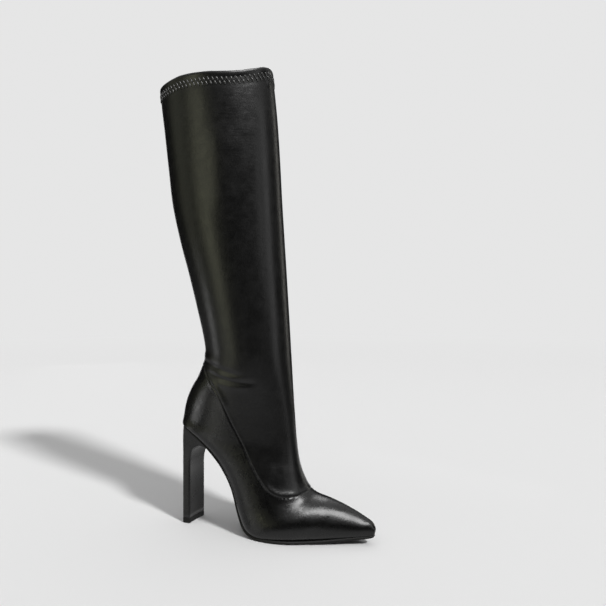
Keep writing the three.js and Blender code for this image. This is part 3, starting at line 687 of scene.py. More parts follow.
def cloudy_material(name, cloud, first, second, gloss, fine=None, depth=None, **values):
    """Colour and gloss follow one noise; a finer one, where there is one, is its bump."""
    material, tree, shader, where = new_material(name)
    tone = noise(tree, where, *cloud)
    found = {"Base Color": tones(tree, tone, first, second), "Roughness": ramp(tree, tone, *gloss)}
    if fine:
        found["Normal"] = bump(tree, noise(tree, where, *fine), *depth)
    found |= {key.replace("_", " "): value for key, value in values.items()}
    fill_inputs(tree, shader, found)
    return material


def cloth_material(name, first, second, pitch):
    """Woven tape or knitted lining."""
    material, tree, shader, where = new_material(name)
    threads = {"Vector": where, "Scale": 1000 / pitch / 20, "Distortion": 1.5, "Detail": 2}
    weave = add_node(tree, "TexWave", threads, wave_type="BANDS", bands_direction="Z").outputs["Fac"]
    fill_inputs(tree, shader, {
        "Base Color": tones(tree, noise(tree, where, 3.0, 4, 0.6), first, second),
        "Normal": bump(tree, weave, 0.08, 0.6), "Roughness": 0.85,
        "Sheen Weight": 0.25, "Sheen Roughness": 0.5,
    })
    return material


LEATHER = leather_material("black_leather", 0.34, 0.05, 0.14)
FOOT_LEATHER = leather_material("black_leather_foot", 0.275, 0.20, 0.0)
# matt, with light scuffing and a fine moulded texture
RUBBER = cloudy_material(
    "black_rubber", (14, 5, 0.65), (0.004, 0.004, 0.004), (0.011, 0.011, 0.0105), (0.5, 0.68),
    (0.7, 3, 0.6), (0.06, 0.6), Specular_IOR_Level=0.3)
# heel cover, smoother than the leather
LACQUER = cloudy_material(
    "heel_lacquer", (16, 4, 0.6), (0.003, 0.003, 0.003), (0.0065, 0.0065, 0.006), (0.24, 0.32),
    (2.2, 3, 0.5), (0.05, 0.5))
TAPE_CLOTH = cloth_material("black_tape", (0.006, 0.006, 0.006), (0.014, 0.014, 0.014), 0.9)
LINING_CLOTH = cloth_material("black_lining", (0.012, 0.012, 0.0115), (0.026, 0.025, 0.024), 0.7)
# polished, with fine scratches
METAL = cloudy_material(
    "dark_nickel", (4, 4, 0.6), (0.30, 0.30, 0.30), (0.46, 0.455, 0.45), (0.16, 0.30),
    (0.8, 2, 0.5), (0.02, 0.4), Metallic=1.0)
THREAD = cloudy_material(
    "black_thread", (1.2, 3, 0.6), (0.011, 0.011, 0.0105), (0.026, 0.026, 0.025), (0.22, 0.36),
    (1.2, 3, 0.6), (0.05, 0.6), Sheen_Weight=0.2, Specular_IOR_Level=0.8)
COIL = cloudy_material(
    "black_coil", (2, 3, 0.5), (0.010, 0.010, 0.010), (0.020, 0.020, 0.020), (0.28, 0.4))

# ---- shaft and foot ----

# Rows round the rim: distance below it and offset from the finished surface.
RIM_ROWS = [
    (HEM, -WALL), (11, -WALL), (7, -WALL), (4, -WALL), (1.9, -WALL), (0.8, -1.6), (0.2, -1.25),
    (0, -0.85), (0.2, -0.4), (0.8, -0.1), (1.6, 0),
]
HEM_SPACING = 0.7
HEM_REACH = 24.0
ROW_SPACING = 1.5
# Width of the band beside the seam in which the mesh is made finer, once and then again.
SEAM_BANDS = (6.0, 2.6)
HIDDEN_DEPTH = 4.5        # leather this far under the foot is left out
TOE_FROM, TOE_TO = 205, 210     # the relief fades out over the toe


def leather_levels():
    """Distances below the rim and offsets of the mesh's rows."""
    top = [d for d, _ in RIM_ROWS]
    hem = list(np.arange(top[-1] + HEM_SPACING, HEM_REACH, HEM_SPACING))
    end = REACH[0, -1]
    rest = list(np.linspace(hem[-1], end, int((end - hem[-1]) / ROW_SPACING))[1:])
    levels = np.array(top + hem + rest)
    offsets = np.array([o for _, o in RIM_ROWS] + [0.0] * (len(hem) + len(rest)))
    return levels, offsets


def at_front_distance(levels):
    """The grid at rows picked by distance down the front, and the depth inside the flat there."""
    rows = np.interp(levels, REACH[0], np.arange(len(GRID)))
    low = np.minimum(rows.astype(int), len(GRID) - 2)
    part = (rows - low)[:, None]
    points = GRID[low] + (GRID[low + 1] - GRID[low]) * part[..., None]
    return points, INSIDE[low] + (INSIDE[low + 1] - INSIDE[low]) * part


def leather_grid():
    """Plain surface of shaft and foot as one mesh: finer beside the seams, the zip's slot left out."""
    levels, offsets = leather_levels()
    points, under = at_front_distance(levels)
    spread = levels.copy()
    spread[:len(RIM_ROWS)] = np.linspace(0, RIM_ROWS[-1][0], len(RIM_ROWS))
    normals = grid_normals(at_front_distance(spread)[0]).reshape(-1, 3)
    height = points[:, ZIP_COLUMN, 2]
    reach = smoothstep(height, ZIP_BOTTOM - 2, ZIP_BOTTOM + 1)
    reach *= smoothstep(-height, -ZIP_TOP - 2, -ZIP_TOP + 1)
    lift = np.repeat(offsets[:, None], AROUND, axis=1)
    for j in (*SLOT_COLUMNS, ZIP_COLUMN):
        lift[:, j] -= 0.9 * reach
    keep = np.ones((len(points) - 1, AROUND), bool)
    between = (height[:-1] + height[1:]) / 2
    for j in (ZIP_COLUMN - 1, ZIP_COLUMN):
        keep[(between > ZIP_BOTTOM) & (between < ZIP_TOP), j] = False
    hidden = (under > HIDDEN_DEPTH) & (points[..., 0] < TOE_FROM)
    hidden &= np.roll(hidden, -1, 1)
    keep &= ~(hidden[:-1] & hidden[1:])
    return points, under, normals, lift, grid_faces(len(points), AROUND, True, keep)


def refined_leather():
    """Plain points, normals, offsets and faces of the whole leather surface."""
    points, under, normals, lift, faces = leather_grid()
    mesh = bmesh.new()
    lifts = mesh.verts.layers.float.new("lift")
    depths = mesh.verts.layers.float.new("depth")
    verts = [mesh.verts.new(p) for p in points.reshape(-1, 3).tolist()]
    for vert, a, d in zip(verts, lift.ravel().tolist(), under.ravel().tolist()):
        vert[lifts] = a
        vert[depths] = d
    for face in faces:
        mesh.faces.new([verts[k] for k in face])
    for band in SEAM_BANDS:
        where = np.array([tuple(v.co) for v in mesh.verts])
        near = np.zeros(len(where), bool)
        box = (where[:, 2] < 190)
        near[box] = distance_to(where[box], SEAM_RING)[0] < band
        mesh.verts.ensure_lookup_table()
        edges = [e for e in mesh.edges if near[e.verts[0].index] and near[e.verts[1].index]]
        bmesh.ops.subdivide_edges(mesh, edges=edges, cuts=1, use_grid_fill=True)
        mesh.verts.index_update()
    mesh.normal_update()
    where = np.array([tuple(v.co) for v in mesh.verts])
    lift = np.array([v[lifts] for v in mesh.verts])
    depth = np.array([v[depths] for v in mesh.verts])
    fresh = np.array([tuple(v.normal) for v in mesh.verts])
    flipped = (fresh[:len(normals)] * normals).sum() < 0
    fresh = -fresh if flipped else fresh
    fresh[:len(normals)] = normals
    mesh.verts.index_update()
    faces = [tuple(v.index for v in f.verts) for f in mesh.faces]
    mesh.free()
    return where, fresh, lift, depth, faces


def part_of(vertices, faces, mask):
    """Vertices and faces of the faces picked out by a mask."""
    picked = [f for f, m in zip(faces, mask) if m]
    used = np.unique(np.concatenate([np.array(f) for f in picked]))
    number = np.full(len(vertices), -1)
    number[used] = np.arange(len(used))
    return vertices[used], [tuple(int(number[k]) for k in f) for f in picked]


def make_leather():
    """Shaft and foot, split at the seam."""
    where, normals, lift, depth, faces = refined_leather()
    rise = relief(where)
    rise *= np.exp(np.minimum(lift, 0) / 2) * (1 - smoothstep(depth, 0, 2))
    rise *= smoothstep(-where[:, 0], -TOE_TO, -TOE_FROM)
    vertices = where + normals * (rise + lift)[:, None]
    centres = np.array([where[list(f)].mean(0) for f in faces])
    above = shaft_side(centres)
    shaft_points, shaft_faces = part_of(vertices, faces, above)
    shaft = add_object("shaft_leather", shaft_points, shaft_faces, LEATHER)
    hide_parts("shaft")
    tip_points, tip_faces = toe_tip(vertices)
    foot_points, foot_faces = part_of(vertices, faces, ~above)
    base = len(foot_points)
    foot_faces += [tuple(base + k for k in f) for f in tip_faces]
    foot_points = np.vstack([foot_points, tip_points])
    foot = add_object("foot_leather", foot_points, foot_faces, FOOT_LEATHER)
    weld(foot)
    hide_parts("upper")


def toe_tip(vertices):
    """Rounded end ahead of the last section: loops that shrink to a point."""
    rows = len(leather_levels()[0])
    last = vertices[(rows - 1) * AROUND:rows * AROUND]
    centre = last.mean(0)
    ahead = np.array([0.9, 0, 0.1])
    loops = [
        centre + (last - centre) * math.cos(a) + ahead * math.sin(a)
        for a in np.linspace(0, np.pi / 2, 6)[:-1]
    ]
    faces = grid_faces(len(loops), AROUND)
    hub = len(loops) * AROUND
    start = (len(loops) - 1) * AROUND
    faces += [(start + j, hub, start + (j + 1) % AROUND) for j in range(AROUND)]
    return np.vstack(loops + [[centre + ahead]]), faces


def weld(obj):
    mesh = bmesh.new()
    mesh.from_mesh(obj.data)
    bmesh.ops.remove_doubles(mesh, verts=mesh.verts, dist=0.01 * MM)
    mesh.to_mesh(obj.data)
    mesh.free()


def make_lining():
    """Knitted lining inside shaft and foot."""
    top, left_out, count = 12, 34, 150     # below the rim; at the toe; rows
    distances = np.linspace(np.full(AROUND, top), REACH[:, -1] - left_out, count)
    plain = column_points(distances)[:, ::2]
    normals = grid_normals(column_points(distances))[:, ::2]
    under = inside_at(distances)[:, ::2]
    points = plain - normals * (WALL + 0.1)
    hidden = under > 3
    keep = ~(hidden[:-1] & hidden[1:])
    keep &= (plain[:-1, :, 0] < 190)
    faces = grid_faces(len(points), points.shape[1], True, keep)
    add_object("lining", points.reshape(-1, 3), faces, LINING_CLOTH)


# ---- sole, insole, heel ----

FIRST_SOLE_ROW = 14      # of the table of sections
LEAST_SOLE = 1.4         # rows with a thinner sole have none
SOLE_EDGE = 1.2          # outsole past the flat of the last
SOLE_ROUNDING = 0.9


def underside(rows):
    """Back points of rows and the direction out of the underside there."""
    points = rows[:, [COL["back_x"], COL["back_z"]]]
    along = np.gradient(points, axis=0)
    down = np.stack([along[:, 1], -along[:, 0]], 1)
    return points, down / np.linalg.norm(down, axis=1, keepdims=True)


def plate_loops(rows, profile):
    """Loops across a plate under the foot: profile(row) gives (side, depth) pairs all round."""
    points, down = underside(rows)
    loops = []
    for row, point, way in zip(rows, points, down):
        loops.append([
            (point[0] + way[0] * depth, sideways + row[COL["back_shift"]], point[1] + way[1] * depth)
            for sideways, depth in profile(row)
        ])
    return loops


def sole_profile(row):
    """Cross-section of the outsole: flat under the foot, edge rounded."""
    outer, inner = row[COL["outer_flat"]] + SOLE_EDGE, row[COL["inner_flat"]] + SOLE_EDGE
    low = GAP + row[COL["sole"]]
    r = SOLE_ROUNDING
    points = []
    for t in np.linspace(-1, 1, 9):
        points.append((t * (outer if t < 0 else inner), -0.6 if abs(t) < 0.95 else GAP - 0.2))
    for angle in np.linspace(0, np.pi / 2, 5):
        points.append((inner - r + r * math.cos(angle), low - r + r * math.sin(angle)))
    for t in np.linspace(0.9, -0.9, 11):
        points.append((t * ((inner if t > 0 else outer) - r), low))
    for angle in np.linspace(np.pi / 2, 0, 5):
        points.append((-outer + r - r * math.cos(angle), low - r + r * math.sin(angle)))
    return points


def sole_rows():
    """Rows of the surface under the foot."""
    below = np.arange(len(ROWS)) >= FIRST_SOLE_ROW * ROW_STEPS
    return ROWS[(column("sole") > LEAST_SOLE) & below]


def make_outsole():
    loops = plate_loops(sole_rows(), sole_profile)
    vertices, faces = loft(loops)
    obj = add_object("outsole_rubber", vertices, faces, RUBBER)
    recalculate(obj)
    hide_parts("outsole")


def make_insole():
    rows = sole_rows()
    rows = rows[np.minimum(rows[:, COL["outer"]], rows[:, COL["inner"]]) > 7]

    def profile(row):
        outer, inner = row[COL["outer_flat"]] - 0.6, row[COL["inner_flat"]] - 0.6
        low, high = -WALL - 0.2, -WALL - 2.4
        top = [(t * (outer if t < 0 else inner), high + 0.5 * t ** 6) for t in np.linspace(-1, 1, 13)]
        return top + [(t * (inner if t > 0 else outer), low) for t in np.linspace(1, -1, 9)]

    vertices, faces = loft(plate_loops(rows, profile))
    obj = add_object("insole_sock", vertices, faces, LINING_CLOTH)
    recalculate(obj)
    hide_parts("insole")


def heel_outline(length, half_width, corner, hollow):
    """Loop of a heel section: distance from the breast, sideways. Breast hollow, back bowed."""
    bow, edge = 1.6, 0.9
    inner, flat, stop = half_width - edge, half_width - corner, length - bow - corner
    breast = [(hollow * (1 - (y / inner) ** 2), y) for y in np.linspace(-inner, inner, 13)]
    quarter = np.linspace(0, np.pi / 2, 5)[1:]
    side = [(edge - edge * math.cos(a), inner + edge * math.sin(a)) for a in quarter]
    side += [(a, half_width) for a in np.linspace(edge, stop, 6)[1:-1]]
    quarter = np.linspace(0, np.pi / 2, 7)
    side += [(stop + corner * math.sin(a), flat + corner * math.cos(a)) for a in quarter]
    back = [(length - bow * (y / flat) ** 2, y) for y in np.linspace(flat, -flat, 11)[1:-1]]
    return breast + side + back + [(a, -y) for a, y in reversed(side)]


# breast x, z | back x, z | half width | back corner radius | hollow of the breast | to the inner side
HEEL_ROWS = [
    (HEEL_BREAST, 6.0, HEEL_BACK, 6.0, HEEL_HALF_WIDTH, HEEL_CORNER, 0.8, HEEL_SHIFT),
    (HEEL_BREAST, 30, HEEL_BACK, 30, HEEL_HALF_WIDTH, HEEL_CORNER, 0.8, HEEL_SHIFT),
    (HEEL_BREAST, 52, HEEL_BACK, 53, HEEL_HALF_WIDTH, HEEL_CORNER, 0.8, HEEL_SHIFT),
    (HEEL_BREAST, 64, HEEL_BACK, 68, 15.2, 3.2, 0.8, HEEL_SHIFT),
    (5.0, 73, HEEL_BACK, 80, 15.8, 4.2, 0.7, -0.7),
    (7.8, 80.5, HEEL_BACK, 90, 17.2, 5.6, 0.6, -0.4),
    (12.4, 84.2, -7.1, 97, 18.5, 7.2, 0.4, -0.2),
    (18, 85.3, -6.9, 101.5, 19.5, 8.4, 0.3, 0),
    (25, 85, -6.6, 104.6, 20.4, 9.4, 0.1, 0),
    (31.5, 84.3, -6.4, 107, 21.0, 10.0, 0.0, 0),
]
HEEL_STEPS = 6
HEEL_BEND_ROW = 4      # above this row the heel bends to the seat's underside


def make_heel():
    rows = catmull_rows(HEEL_ROWS, HEEL_STEPS)
    seat_front_x, seat_front_z, seat_back_x, seat_back_z = HEEL_ROWS[-1][:4]
    seat, down = underside(sole_rows())
    depth = sole_rows()[:, COL["sole"]][:, None] + 2 * GAP - 0.15
    roof = seat + down * depth
    loops = []
    for k, (front_x, front_z, back_x, back_z, half_width, corner, hollow, shift) in enumerate(rows):
        front, back = np.array([front_x, front_z]), np.array([back_x, back_z])
        length = np.linalg.norm(back - front)
        way = (back - front) / length
        loop = []
        for a, y in heel_outline(length, half_width, corner, hollow):
            x, z = front + way * a
            ceiling = np.interp(x, roof[:, 0], roof[:, 1])
            rest = smoothstep(k, HEEL_BEND_ROW * HEEL_STEPS, (len(HEEL_ROWS) - 1) * HEEL_STEPS)
            top_line = np.interp(x, [seat_back_x, seat_front_x], [seat_back_z, seat_front_z])
            z = np.interp(x, [back_x, front_x], [back_z, front_z]) + rest * (ceiling - top_line)
            loop.append((x, y + shift, min(z, ceiling)))
        loops.append(loop)
    vertices, faces = loft(loops)
    obj = add_object("heel_block", vertices, faces, LACQUER)
    recalculate(obj)
    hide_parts("heel")


def make_lift():
    loops = []
    length = HEEL_BREAST - HEEL_BACK
    top = LIFT_THICKNESS
    edge = ((0, 0.7), (0.25, 0.25), (0.8, 0), (top - 0.5, 0), (top - 0.1, 0.15), (top + 0.3, 0.5))
    for z, inset in edge:
        loop = []
        for a, y in heel_outline(length, HEEL_HALF_WIDTH, HEEL_CORNER, 0.8):
            centre = length / 2
            x = HEEL_BREAST - centre - (a - centre) * (1 - inset / centre)
            loop.append((x, y * (1 - inset / HEEL_HALF_WIDTH) + HEEL_SHIFT, z))
        loops.append(loop)
    vertices, faces = loft(loops)
    obj = add_object("heel_lift", vertices, faces, RUBBER)
    recalculate(obj)
    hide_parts("top_lift")


# ---- stitches ----


# Place along a stitch, thickness there, as shares of its length and radius.
STITCH_OUTLINE = ((-0.5, 0.0), (-0.42, 0.7), (-0.2, 1.0), (0.2, 1.0), (0.42, 0.7), (0.5, 0.0))


def capsule(length, radius):
    """Points and faces of one stitch lying along X, its middle at the origin."""
    turns = np.linspace(0, 2 * np.pi, 6, endpoint=False)
    points = [
        (x * length, r * radius * math.cos(a), r * radius * math.sin(a))
        for x, r in STITCH_OUTLINE for a in turns
    ]
    return np.array(points), grid_faces(len(STITCH_OUTLINE), len(turns))


def stitches(name, places, length, radius, material=THREAD):
    """One object of many stitches. places: (middle, direction, normal) for each."""
    template, template_faces = capsule(length, radius)
    vertices, faces = [], []
    for middle, direction, normal in places:
        direction = direction / np.linalg.norm(direction)
        normal = normal - direction * (normal @ direction)
        normal /= np.linalg.norm(normal)
        side = np.cross(normal, direction)
        base = len(vertices) * len(template)
        vertices.append(middle + template @ np.stack([direction, side, normal]))
        faces += [tuple(base + k for k in face) for face in template_faces]
    add_object(name, np.vstack(vertices), faces, material)


def ring_frames(distance):
    """Points, normals and downward directions all round the leg at a distance below the rim."""
    points = column_points(np.array([np.full(AROUND, distance + step) for step in (-1, 0, 1)]))
    normals = grid_normals(points)[1]
    down = points[2] - points[0]
    down /= np.linalg.norm(down, axis=1, keepdims=True)
    return points[1] + normals * relief(points[1])[:, None], normals, down


def make_hem_stitches():
    """Two rows of slanted stitches, half a pitch apart."""
    pitch, length, radius, lean, lift = 4.9, 4.8, 0.85, 0.42, 0.3
    places = []
    for distance, start in zip(HEM_STITCH_ROWS, (0.0, 0.5)):
        ring, normals, down = (np.vstack([part, part[:1]]) for part in ring_frames(distance))
        reach = lengths_along(ring)
        count = int(round(reach[-1] / pitch))
        spots = (np.arange(count) + start) * reach[-1] / count
        frames = np.hstack([ring, normals, down])
        frames = np.stack([np.interp(spots, reach, values) for values in frames.T], 1)
        for middle, normal, way in frames.reshape(count, 3, 3):
            places.append((middle + normal * lift, way + np.cross(normal, way) * lean, normal))
    stitches("hem_stitches", places, length, radius)


def line_stitches(name, places):
    """Row of running stitches on the inner side, along places seen from the side."""
    pitch, length, radius, lift = 2.9, 2.3, 0.3, 0.1
    flat = catmull_rows(places, 6)
    spots = np.arange(pitch / 2, lengths_along(flat)[-1], pitch)
    found = []
    for (x, z), (x2, z2) in zip(resample(flat, spots - 0.4), resample(flat, spots + 0.4)):
        here, normal, _ = side_frame((x + x2) / 2, (z + z2) / 2, INNER)
        way = side_point(x2, z2, INNER) - side_point(x, z, INNER)
        here = here + normal * (relief(here[None])[0] + lift)
        found.append((here, way, normal))
    stitches(name, found, length, radius)


def zip_x(z):
    line = catmull_rows(ZIP_LINE[1:], 8)
    return float(np.interp(-z, -line[:, 1], line[:, 0]))


def zip_edge_line(shift):
    """Line beside the zip seen from the side, a constant way in front (+) or behind (-)."""
    return [(zip_x(z) + shift, z) for z in np.arange(ZIP_TOP - 2, ZIP_BOTTOM + 3, -12)]


# ---- zip ----


def make_tape():
    heights = np.arange(ZIP_TOP - 0.3, ZIP_BOTTOM + 0.3, -2.0)
    half_width, depth, crown = 3.9, 1.15, 0.25
    across = np.linspace(-half_width, half_width, 9)
    grid = []
    for z in heights:
        for d in across:
            side, way, _ = side_frame(zip_x(z) + d, z, INNER)
            grid.append(side - way * (depth - crown * (1 - (d / half_width) ** 2)))
    faces = grid_faces(len(heights), len(across), closed=False)
    obj = add_object("zip_tape_cloth", np.array(grid), faces, TAPE_CLOTH)
    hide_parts("zip_tape")


def make_coil():
    """Closed coil: slanted turns from both sides meeting along the middle."""
    pitch = 1.7
    places = []
    for k, z in enumerate(np.arange(ZIP_TOP - 2, ZIP_BOTTOM + 2, -pitch / 2)):
        side = 1 if k % 2 else -1
        here, normal, up = side_frame(zip_x(z) + side * 1.05, z, INNER)
        ahead = np.cross(up, normal)
        places.append((here - normal * 0.55, ahead + up * side * 0.28, normal))
    stitches("zip_coil", places, 3.0, 0.52, material=COIL)


JOINT = frame["joints"][0]
PIVOT = np.array(JOINT["pos_m"]) / MM - OFFSET
FORWARDS = np.array(JOINT["axis"], float) / np.linalg.norm(JOINT["axis"])
SLIDER_HEIGHT = 272.0


def slider_axes():
    """Directions on the leg at the slider: forwards, up and out of the leather."""
    _, normal, up = side_frame(zip_x(SLIDER_HEIGHT), SLIDER_HEIGHT, INNER)
    up = up - FORWARDS * (up @ FORWARDS)
    up /= np.linalg.norm(up)
    out = np.cross(up, FORWARDS)
    return FORWARDS, up, out if out @ normal > 0 else -out


AHEAD, UP, OUT = slider_axes()
PIVOT_LIFT = 3.4


def on_slider(points):
    """[forwards, up, out] from the slider's middle on the leather to the boot frame."""
    points = np.asarray(points, float)
    origin = PIVOT - OUT * PIVOT_LIFT
    return origin + points @ np.stack([AHEAD, UP, OUT])


def flat_piece(name, outline, holes, low, high, bevel, body):
    """Metal plate with holes in the slider's frame, its edges rounded."""
    mesh = bmesh.new()
    edges = []
    for loop in [outline] + holes:
        corners = [mesh.verts.new((x, y, 0)) for x, y in loop]
        edges += [mesh.edges.new((corners[k - 1], corners[k])) for k in range(len(corners))]
    bmesh.ops.triangle_fill(mesh, use_beauty=True, use_dissolve=False, edges=edges)
    faces = list(mesh.faces)
    grown = bmesh.ops.extrude_face_region(mesh, geom=faces)
    top = [v for v in grown["geom"] if isinstance(v, bmesh.types.BMVert)]
    for v in mesh.verts:
        v.co.z = low
    for v in top:
        v.co.z = high
    bmesh.ops.recalc_face_normals(mesh, faces=mesh.faces)
    sharp = [e for e in mesh.edges if len(e.link_faces) == 2 and e.calc_face_angle(0) > 1.2]
    bmesh.ops.bevel(mesh, geom=sharp, offset=bevel, segments=3, profile=0.5, affect="EDGES")
    mesh.verts.ensure_lookup_table()
    vertices = on_slider([tuple(v.co) for v in mesh.verts])
    polygons = [tuple(v.index for v in f.verts) for f in mesh.faces]
    mesh.free()
    obj = add_object(name, vertices, polygons, METAL, body=body)
    recalculate(obj)
    return obj


def rounded(points, radius):
    """Outline with its corners rounded."""
    points = [np.array(p, float) for p in points]
    out = []
    for k, corner in enumerate(points):
        before, after = points[k - 1], points[(k + 1) % len(points)]
        to_before = (before - corner) / np.linalg.norm(before - corner)
        to_after = (after - corner) / np.linalg.norm(after - corner)
        start, stop = corner + to_before * radius, corner + to_after * radius
        for t in np.linspace(0, 1, 5):
            out.append(tuple((1 - t) ** 2 * start + 2 * t * (1 - t) * corner + t ** 2 * stop))
    return out


def make_slider():
    body = [(-4.1, 5.2), (-4.1, 0.6), (-3.2, -5.2), (3.2, -5.2), (4.1, 0.6), (4.1, 5.2), (0, 3.9)]
    base = flat_piece("zip_slider_body", rounded(body, 1.1), [], 0.5, 2.2, 0.45, BOOT)
    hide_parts("zip_slider")
    leg = [(-3.6, 1.6), (-3.6, 3.6), (-3.0, 4.7), (-1.8, 5.15)]
    path = catmull_rows(leg + [(-y, z) for y, z in reversed(leg)], 4)
    half_width, half_thickness = 1.1, 0.5
    turns = np.linspace(0, 2 * np.pi, 12, endpoint=False)
    loops = []
    for (y, z), (dy, dz) in zip(path, np.gradient(path, axis=0)):
        thick = half_thickness / math.hypot(dy, dz)
        loops.append([
            (half_width * math.cos(a), y + dz * thick * math.sin(a), z - dy * thick * math.sin(a))
            for a in turns
        ])
    vertices, faces = loft(loops)
    bail = add_object("zip_bail", on_slider(vertices), faces, METAL)
    recalculate(bail)


def make_pull():
    """Link and tab of the pull, hanging from the bail, with a raised rim on the tab."""
    link = [(-3.1, 0.65), (3.1, 0.65), (3.1, -8.3), (2.2, -9.6), (-2.2, -9.6), (-3.1, -8.3)]
    window = rounded([(-1.7, -0.65), (-1.7, -6.2), (1.7, -6.2), (1.7, -0.65)], 0.5)
    low, high = PIVOT_LIFT - 0.65, PIVOT_LIFT + 0.65
    flat_piece("zip_pull_link", rounded(link, 0.6), [window], low, high, 0.32, PULL)
    tab = [(-3.7, -10.2), (-3.7, -30), (3.7, -30), (3.7, -10.2), (2.6, -8.6), (-2.6, -8.6)]
    hole = rounded([(-1.6, -23.5), (-1.6, -27.4), (1.6, -27.4), (1.6, -23.5)], 0.7)
    plate = flat_piece("zip_pull_tab", rounded(tab, 0.8), [hole], low + 0.05, high - 0.05, 0.35, PULL)
    rim = rounded([(-2.7, -11.6), (-2.7, -22), (2.7, -22), (2.7, -11.6)], 0.9)
    field = rounded([(-2.0, -12.4), (-2.0, -21.2), (2.0, -21.2), (2.0, -12.4)], 0.7)
    flat_piece("zip_pull_rim", rim, [field], high - 0.2, high + 0.16, 0.12, PULL)
    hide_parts("zip_pull")


# ---- stage, light, camera ----

PAPER = (0.79, 0.79, 0.79, 1)     # floor far away, and backdrop
SKY = 0.85           # light from overhead
BOUNCE = 0.62        # light from the floor
KEY = 2.6
KEY_WAY = (63.5, 39.5)     # azimuth, elevation
# name, azimuth, elevation, distance, size, power, tint, height aimed at
SOFTBOXES = [
    ("left_strip", -35, 0, 1.8, (0.52, 1.25), 3.2, (1.0, 1.01, 0.72), 0.53),
    ("flank_glow", -42, -14, 1.8, (0.4, 0.4), 0.42, (1.0, 1.0, 0.95), 0.06),
    ("left_dim_strip", -68, 4, 1.8, (0.7, 1.2), 1.0, (1.0, 1.02, 0.76), 0.50),
    ("right_strip", 84, 10, 1.8, (0.6, 1.2), 2.5, (1.0, 1.0, 1.0), 0.32),
    ("right_high_strip", 62, 8, 1.8, (0.3, 0.5), 0.5, (1.0, 1.0, 1.0), 0.50),
    ("top_box", 46, 59, 3.5, (2.0, 1.4), 98.0, (1.0, 1.0, 1.0), 0.05),
    ("breast_glow", 160, 0, 0.36, (0.34, 0.10), 0.09, (1.0, 1.0, 1.0), 0.0),
    ("counter_glow", -68, -9, 1.8, (0.4, 0.3), 1.0, (1.0, 1.0, 1.0), 0.13),
    ("inner_left_strip", 148, 6, 1.8, (0.35, 1.2), 1.9, (1.0, 0.98, 0.90), 0.45),
    ("inner_right_strip", -134, 6, 1.8, (0.35, 1.5), 2.0, (1.0, 1.0, 1.0), 0.30),
    ("inner_top_box", 205, 52, 1.8, (0.9, 0.8), 11.0, (1.0, 1.0, 1.0), 0.05),
]


def floor_material():
    """Pale seamless paper: takes shadows near the boot and fades to an even tone far away."""
    material, tree, shader, where = new_material("pale_paper")
    white = {"Base Color": (0.80, 0.80, 0.80, 1), "Roughness": 0.9, "Specular IOR Level": 0.1}
    fill_inputs(tree, shader, white)
    glow = add_node(tree, "Emission", {"Color": PAPER}).outputs["Emission"]
    far = add_node(tree, "VectorMath", {0: where}, operation="LENGTH").outputs["Value"]
    reach = ramp(tree, far, 0, 1, 1.6, 3.5, interpolation_type="SMOOTHSTEP")
    mix = add_node(tree, "MixShader", {"Fac": reach, 1: shader.outputs["BSDF"], 2: glow})
    fill_inputs(tree, tree.nodes["Material Output"], {"Surface": mix.outputs["Shader"]})
    return material


def make_floor():
    mesh = bpy.data.meshes.new("floor")
    half = 30.0
    corners = [(-half, -half, 0), (half, -half, 0), (half, half, 0), (-half, half, 0)]
    mesh.from_pydata(corners, [], [(0, 1, 2, 3)])
    mesh.materials.append(floor_material())
    floor = bpy.data.objects.new("floor", mesh)
    floor.visible_glossy = False
    bpy.context.scene.collection.objects.link(floor)


def make_world():
    """Even pale backdrop for the camera; for everything else, light from overhead and the floor."""
    world = bpy.data.worlds.new("studio")
    bpy.context.scene.world = world
    world.use_nodes = True
    tree = world.node_tree
    tree.nodes.clear()
    where = add_node(tree, "TexCoord", {}).outputs["Generated"]
    height = add_node(tree, "SeparateXYZ", {"Vector": where}).outputs["Z"]
    overhead = ramp(tree, height, 0.02, SKY, 0.25, 0.85, interpolation_type="SMOOTHSTEP")
    below = ramp(tree, height, 0.0, BOUNCE, -0.06, -0.50, interpolation_type="SMOOTHSTEP")
    both = add_node(tree, "Math", {0: overhead, 1: below}, operation="ADD").outputs["Value"]
    lit = add_node(tree, "Background", {"Strength": both}).outputs["Background"]
    seen = add_node(tree, "Background", {"Color": PAPER}).outputs["Background"]
    camera_ray = add_node(tree, "LightPath", {}).outputs["Is Camera Ray"]
    mix = add_node(tree, "MixShader", {"Fac": camera_ray, 1: lit, 2: seen})
    add_node(tree, "OutputWorld", {"Surface": mix.outputs["Shader"]})


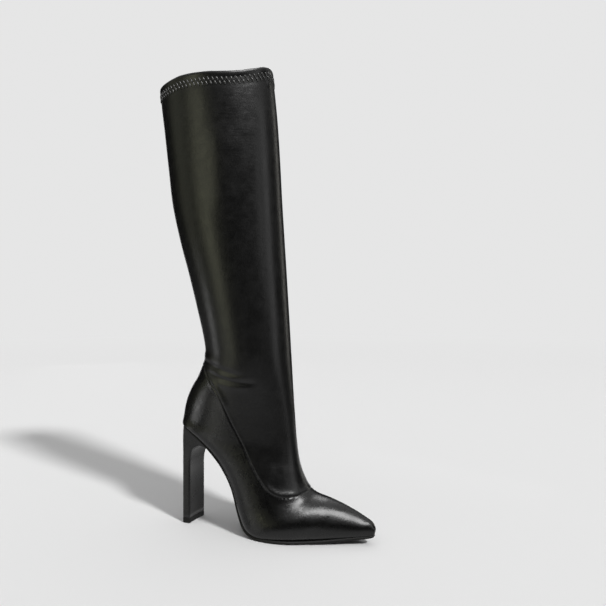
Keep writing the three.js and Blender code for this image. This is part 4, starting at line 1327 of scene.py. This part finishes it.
CAMERA_POINT = np.array([397.8, -624.7, 250.0])
VIEW_TURN = 23.0      # degrees the view turns from straight across the boot
FOCAL = 650.0         # in the picture's own pixels
PICTURE = 606
HORIZON_SHIFT = -7 / PICTURE


def make_camera():
    data = bpy.data.cameras.new("camera")
    data.sensor_width = 36.0
    data.lens = 36.0 * FOCAL / PICTURE
    data.shift_y = HORIZON_SHIFT
    camera = bpy.data.objects.new("camera", data)
    camera.location = Vector(place(CAMERA_POINT))
    camera.rotation_euler = (math.pi / 2, 0, math.radians(VIEW_TURN))
    bpy.context.scene.collection.objects.link(camera)
    bpy.context.scene.camera = camera


def direction(azimuth, elevation):
    """Unit vector to a light: azimuth 0 is the outer side, 90 the toe."""
    a, e = math.radians(azimuth), math.radians(elevation)
    return Vector((math.sin(a) * math.cos(e), -math.cos(a) * math.cos(e), math.sin(e)))


def add_light(name, kind, way, distance, power, height):
    """Light aimed at the boot's upright middle line from a direction."""
    data = bpy.data.lights.new(name, kind)
    data.energy = power
    light = bpy.data.objects.new(name, data)
    light.location = Vector((0, 0, height)) + way * distance
    light.rotation_euler = way.to_track_quat("Z", "Y").to_euler()
    bpy.context.scene.collection.objects.link(light)
    return light


def make_lights():
    """Key that lights and shades, and softboxes that only show in the leather's gloss."""
    key = add_light("key", "SUN", direction(*KEY_WAY), 3, KEY, 0.2)
    key.data.angle = math.radians(7)
    key.visible_glossy = False
    for name, azimuth, elevation, distance, size, power, tint, height in SOFTBOXES:
        box = add_light(name, "AREA", direction(azimuth, elevation), distance, power, height)
        box.data.shape = "RECTANGLE"
        box.data.size, box.data.size_y = size
        box.data.color = tint
        box.visible_diffuse = False
        box.visible_camera = False


def main():
    scene = bpy.context.scene
    scene.view_settings.view_transform = "Standard"
    make_leather()
    make_lining()
    make_outsole()
    make_insole()
    make_heel()
    make_lift()
    make_hem_stitches()
    make_tape()
    make_coil()
    make_slider()
    make_pull()
    line_stitches("placket_stitches", PLACKET)
    line_stitches("zip_stitches_front", zip_edge_line(ZIP_SEAM))
    line_stitches("zip_stitches_back", zip_edge_line(-ZIP_SEAM))
    make_floor()
    make_world()
    make_lights()
    make_camera()


main()
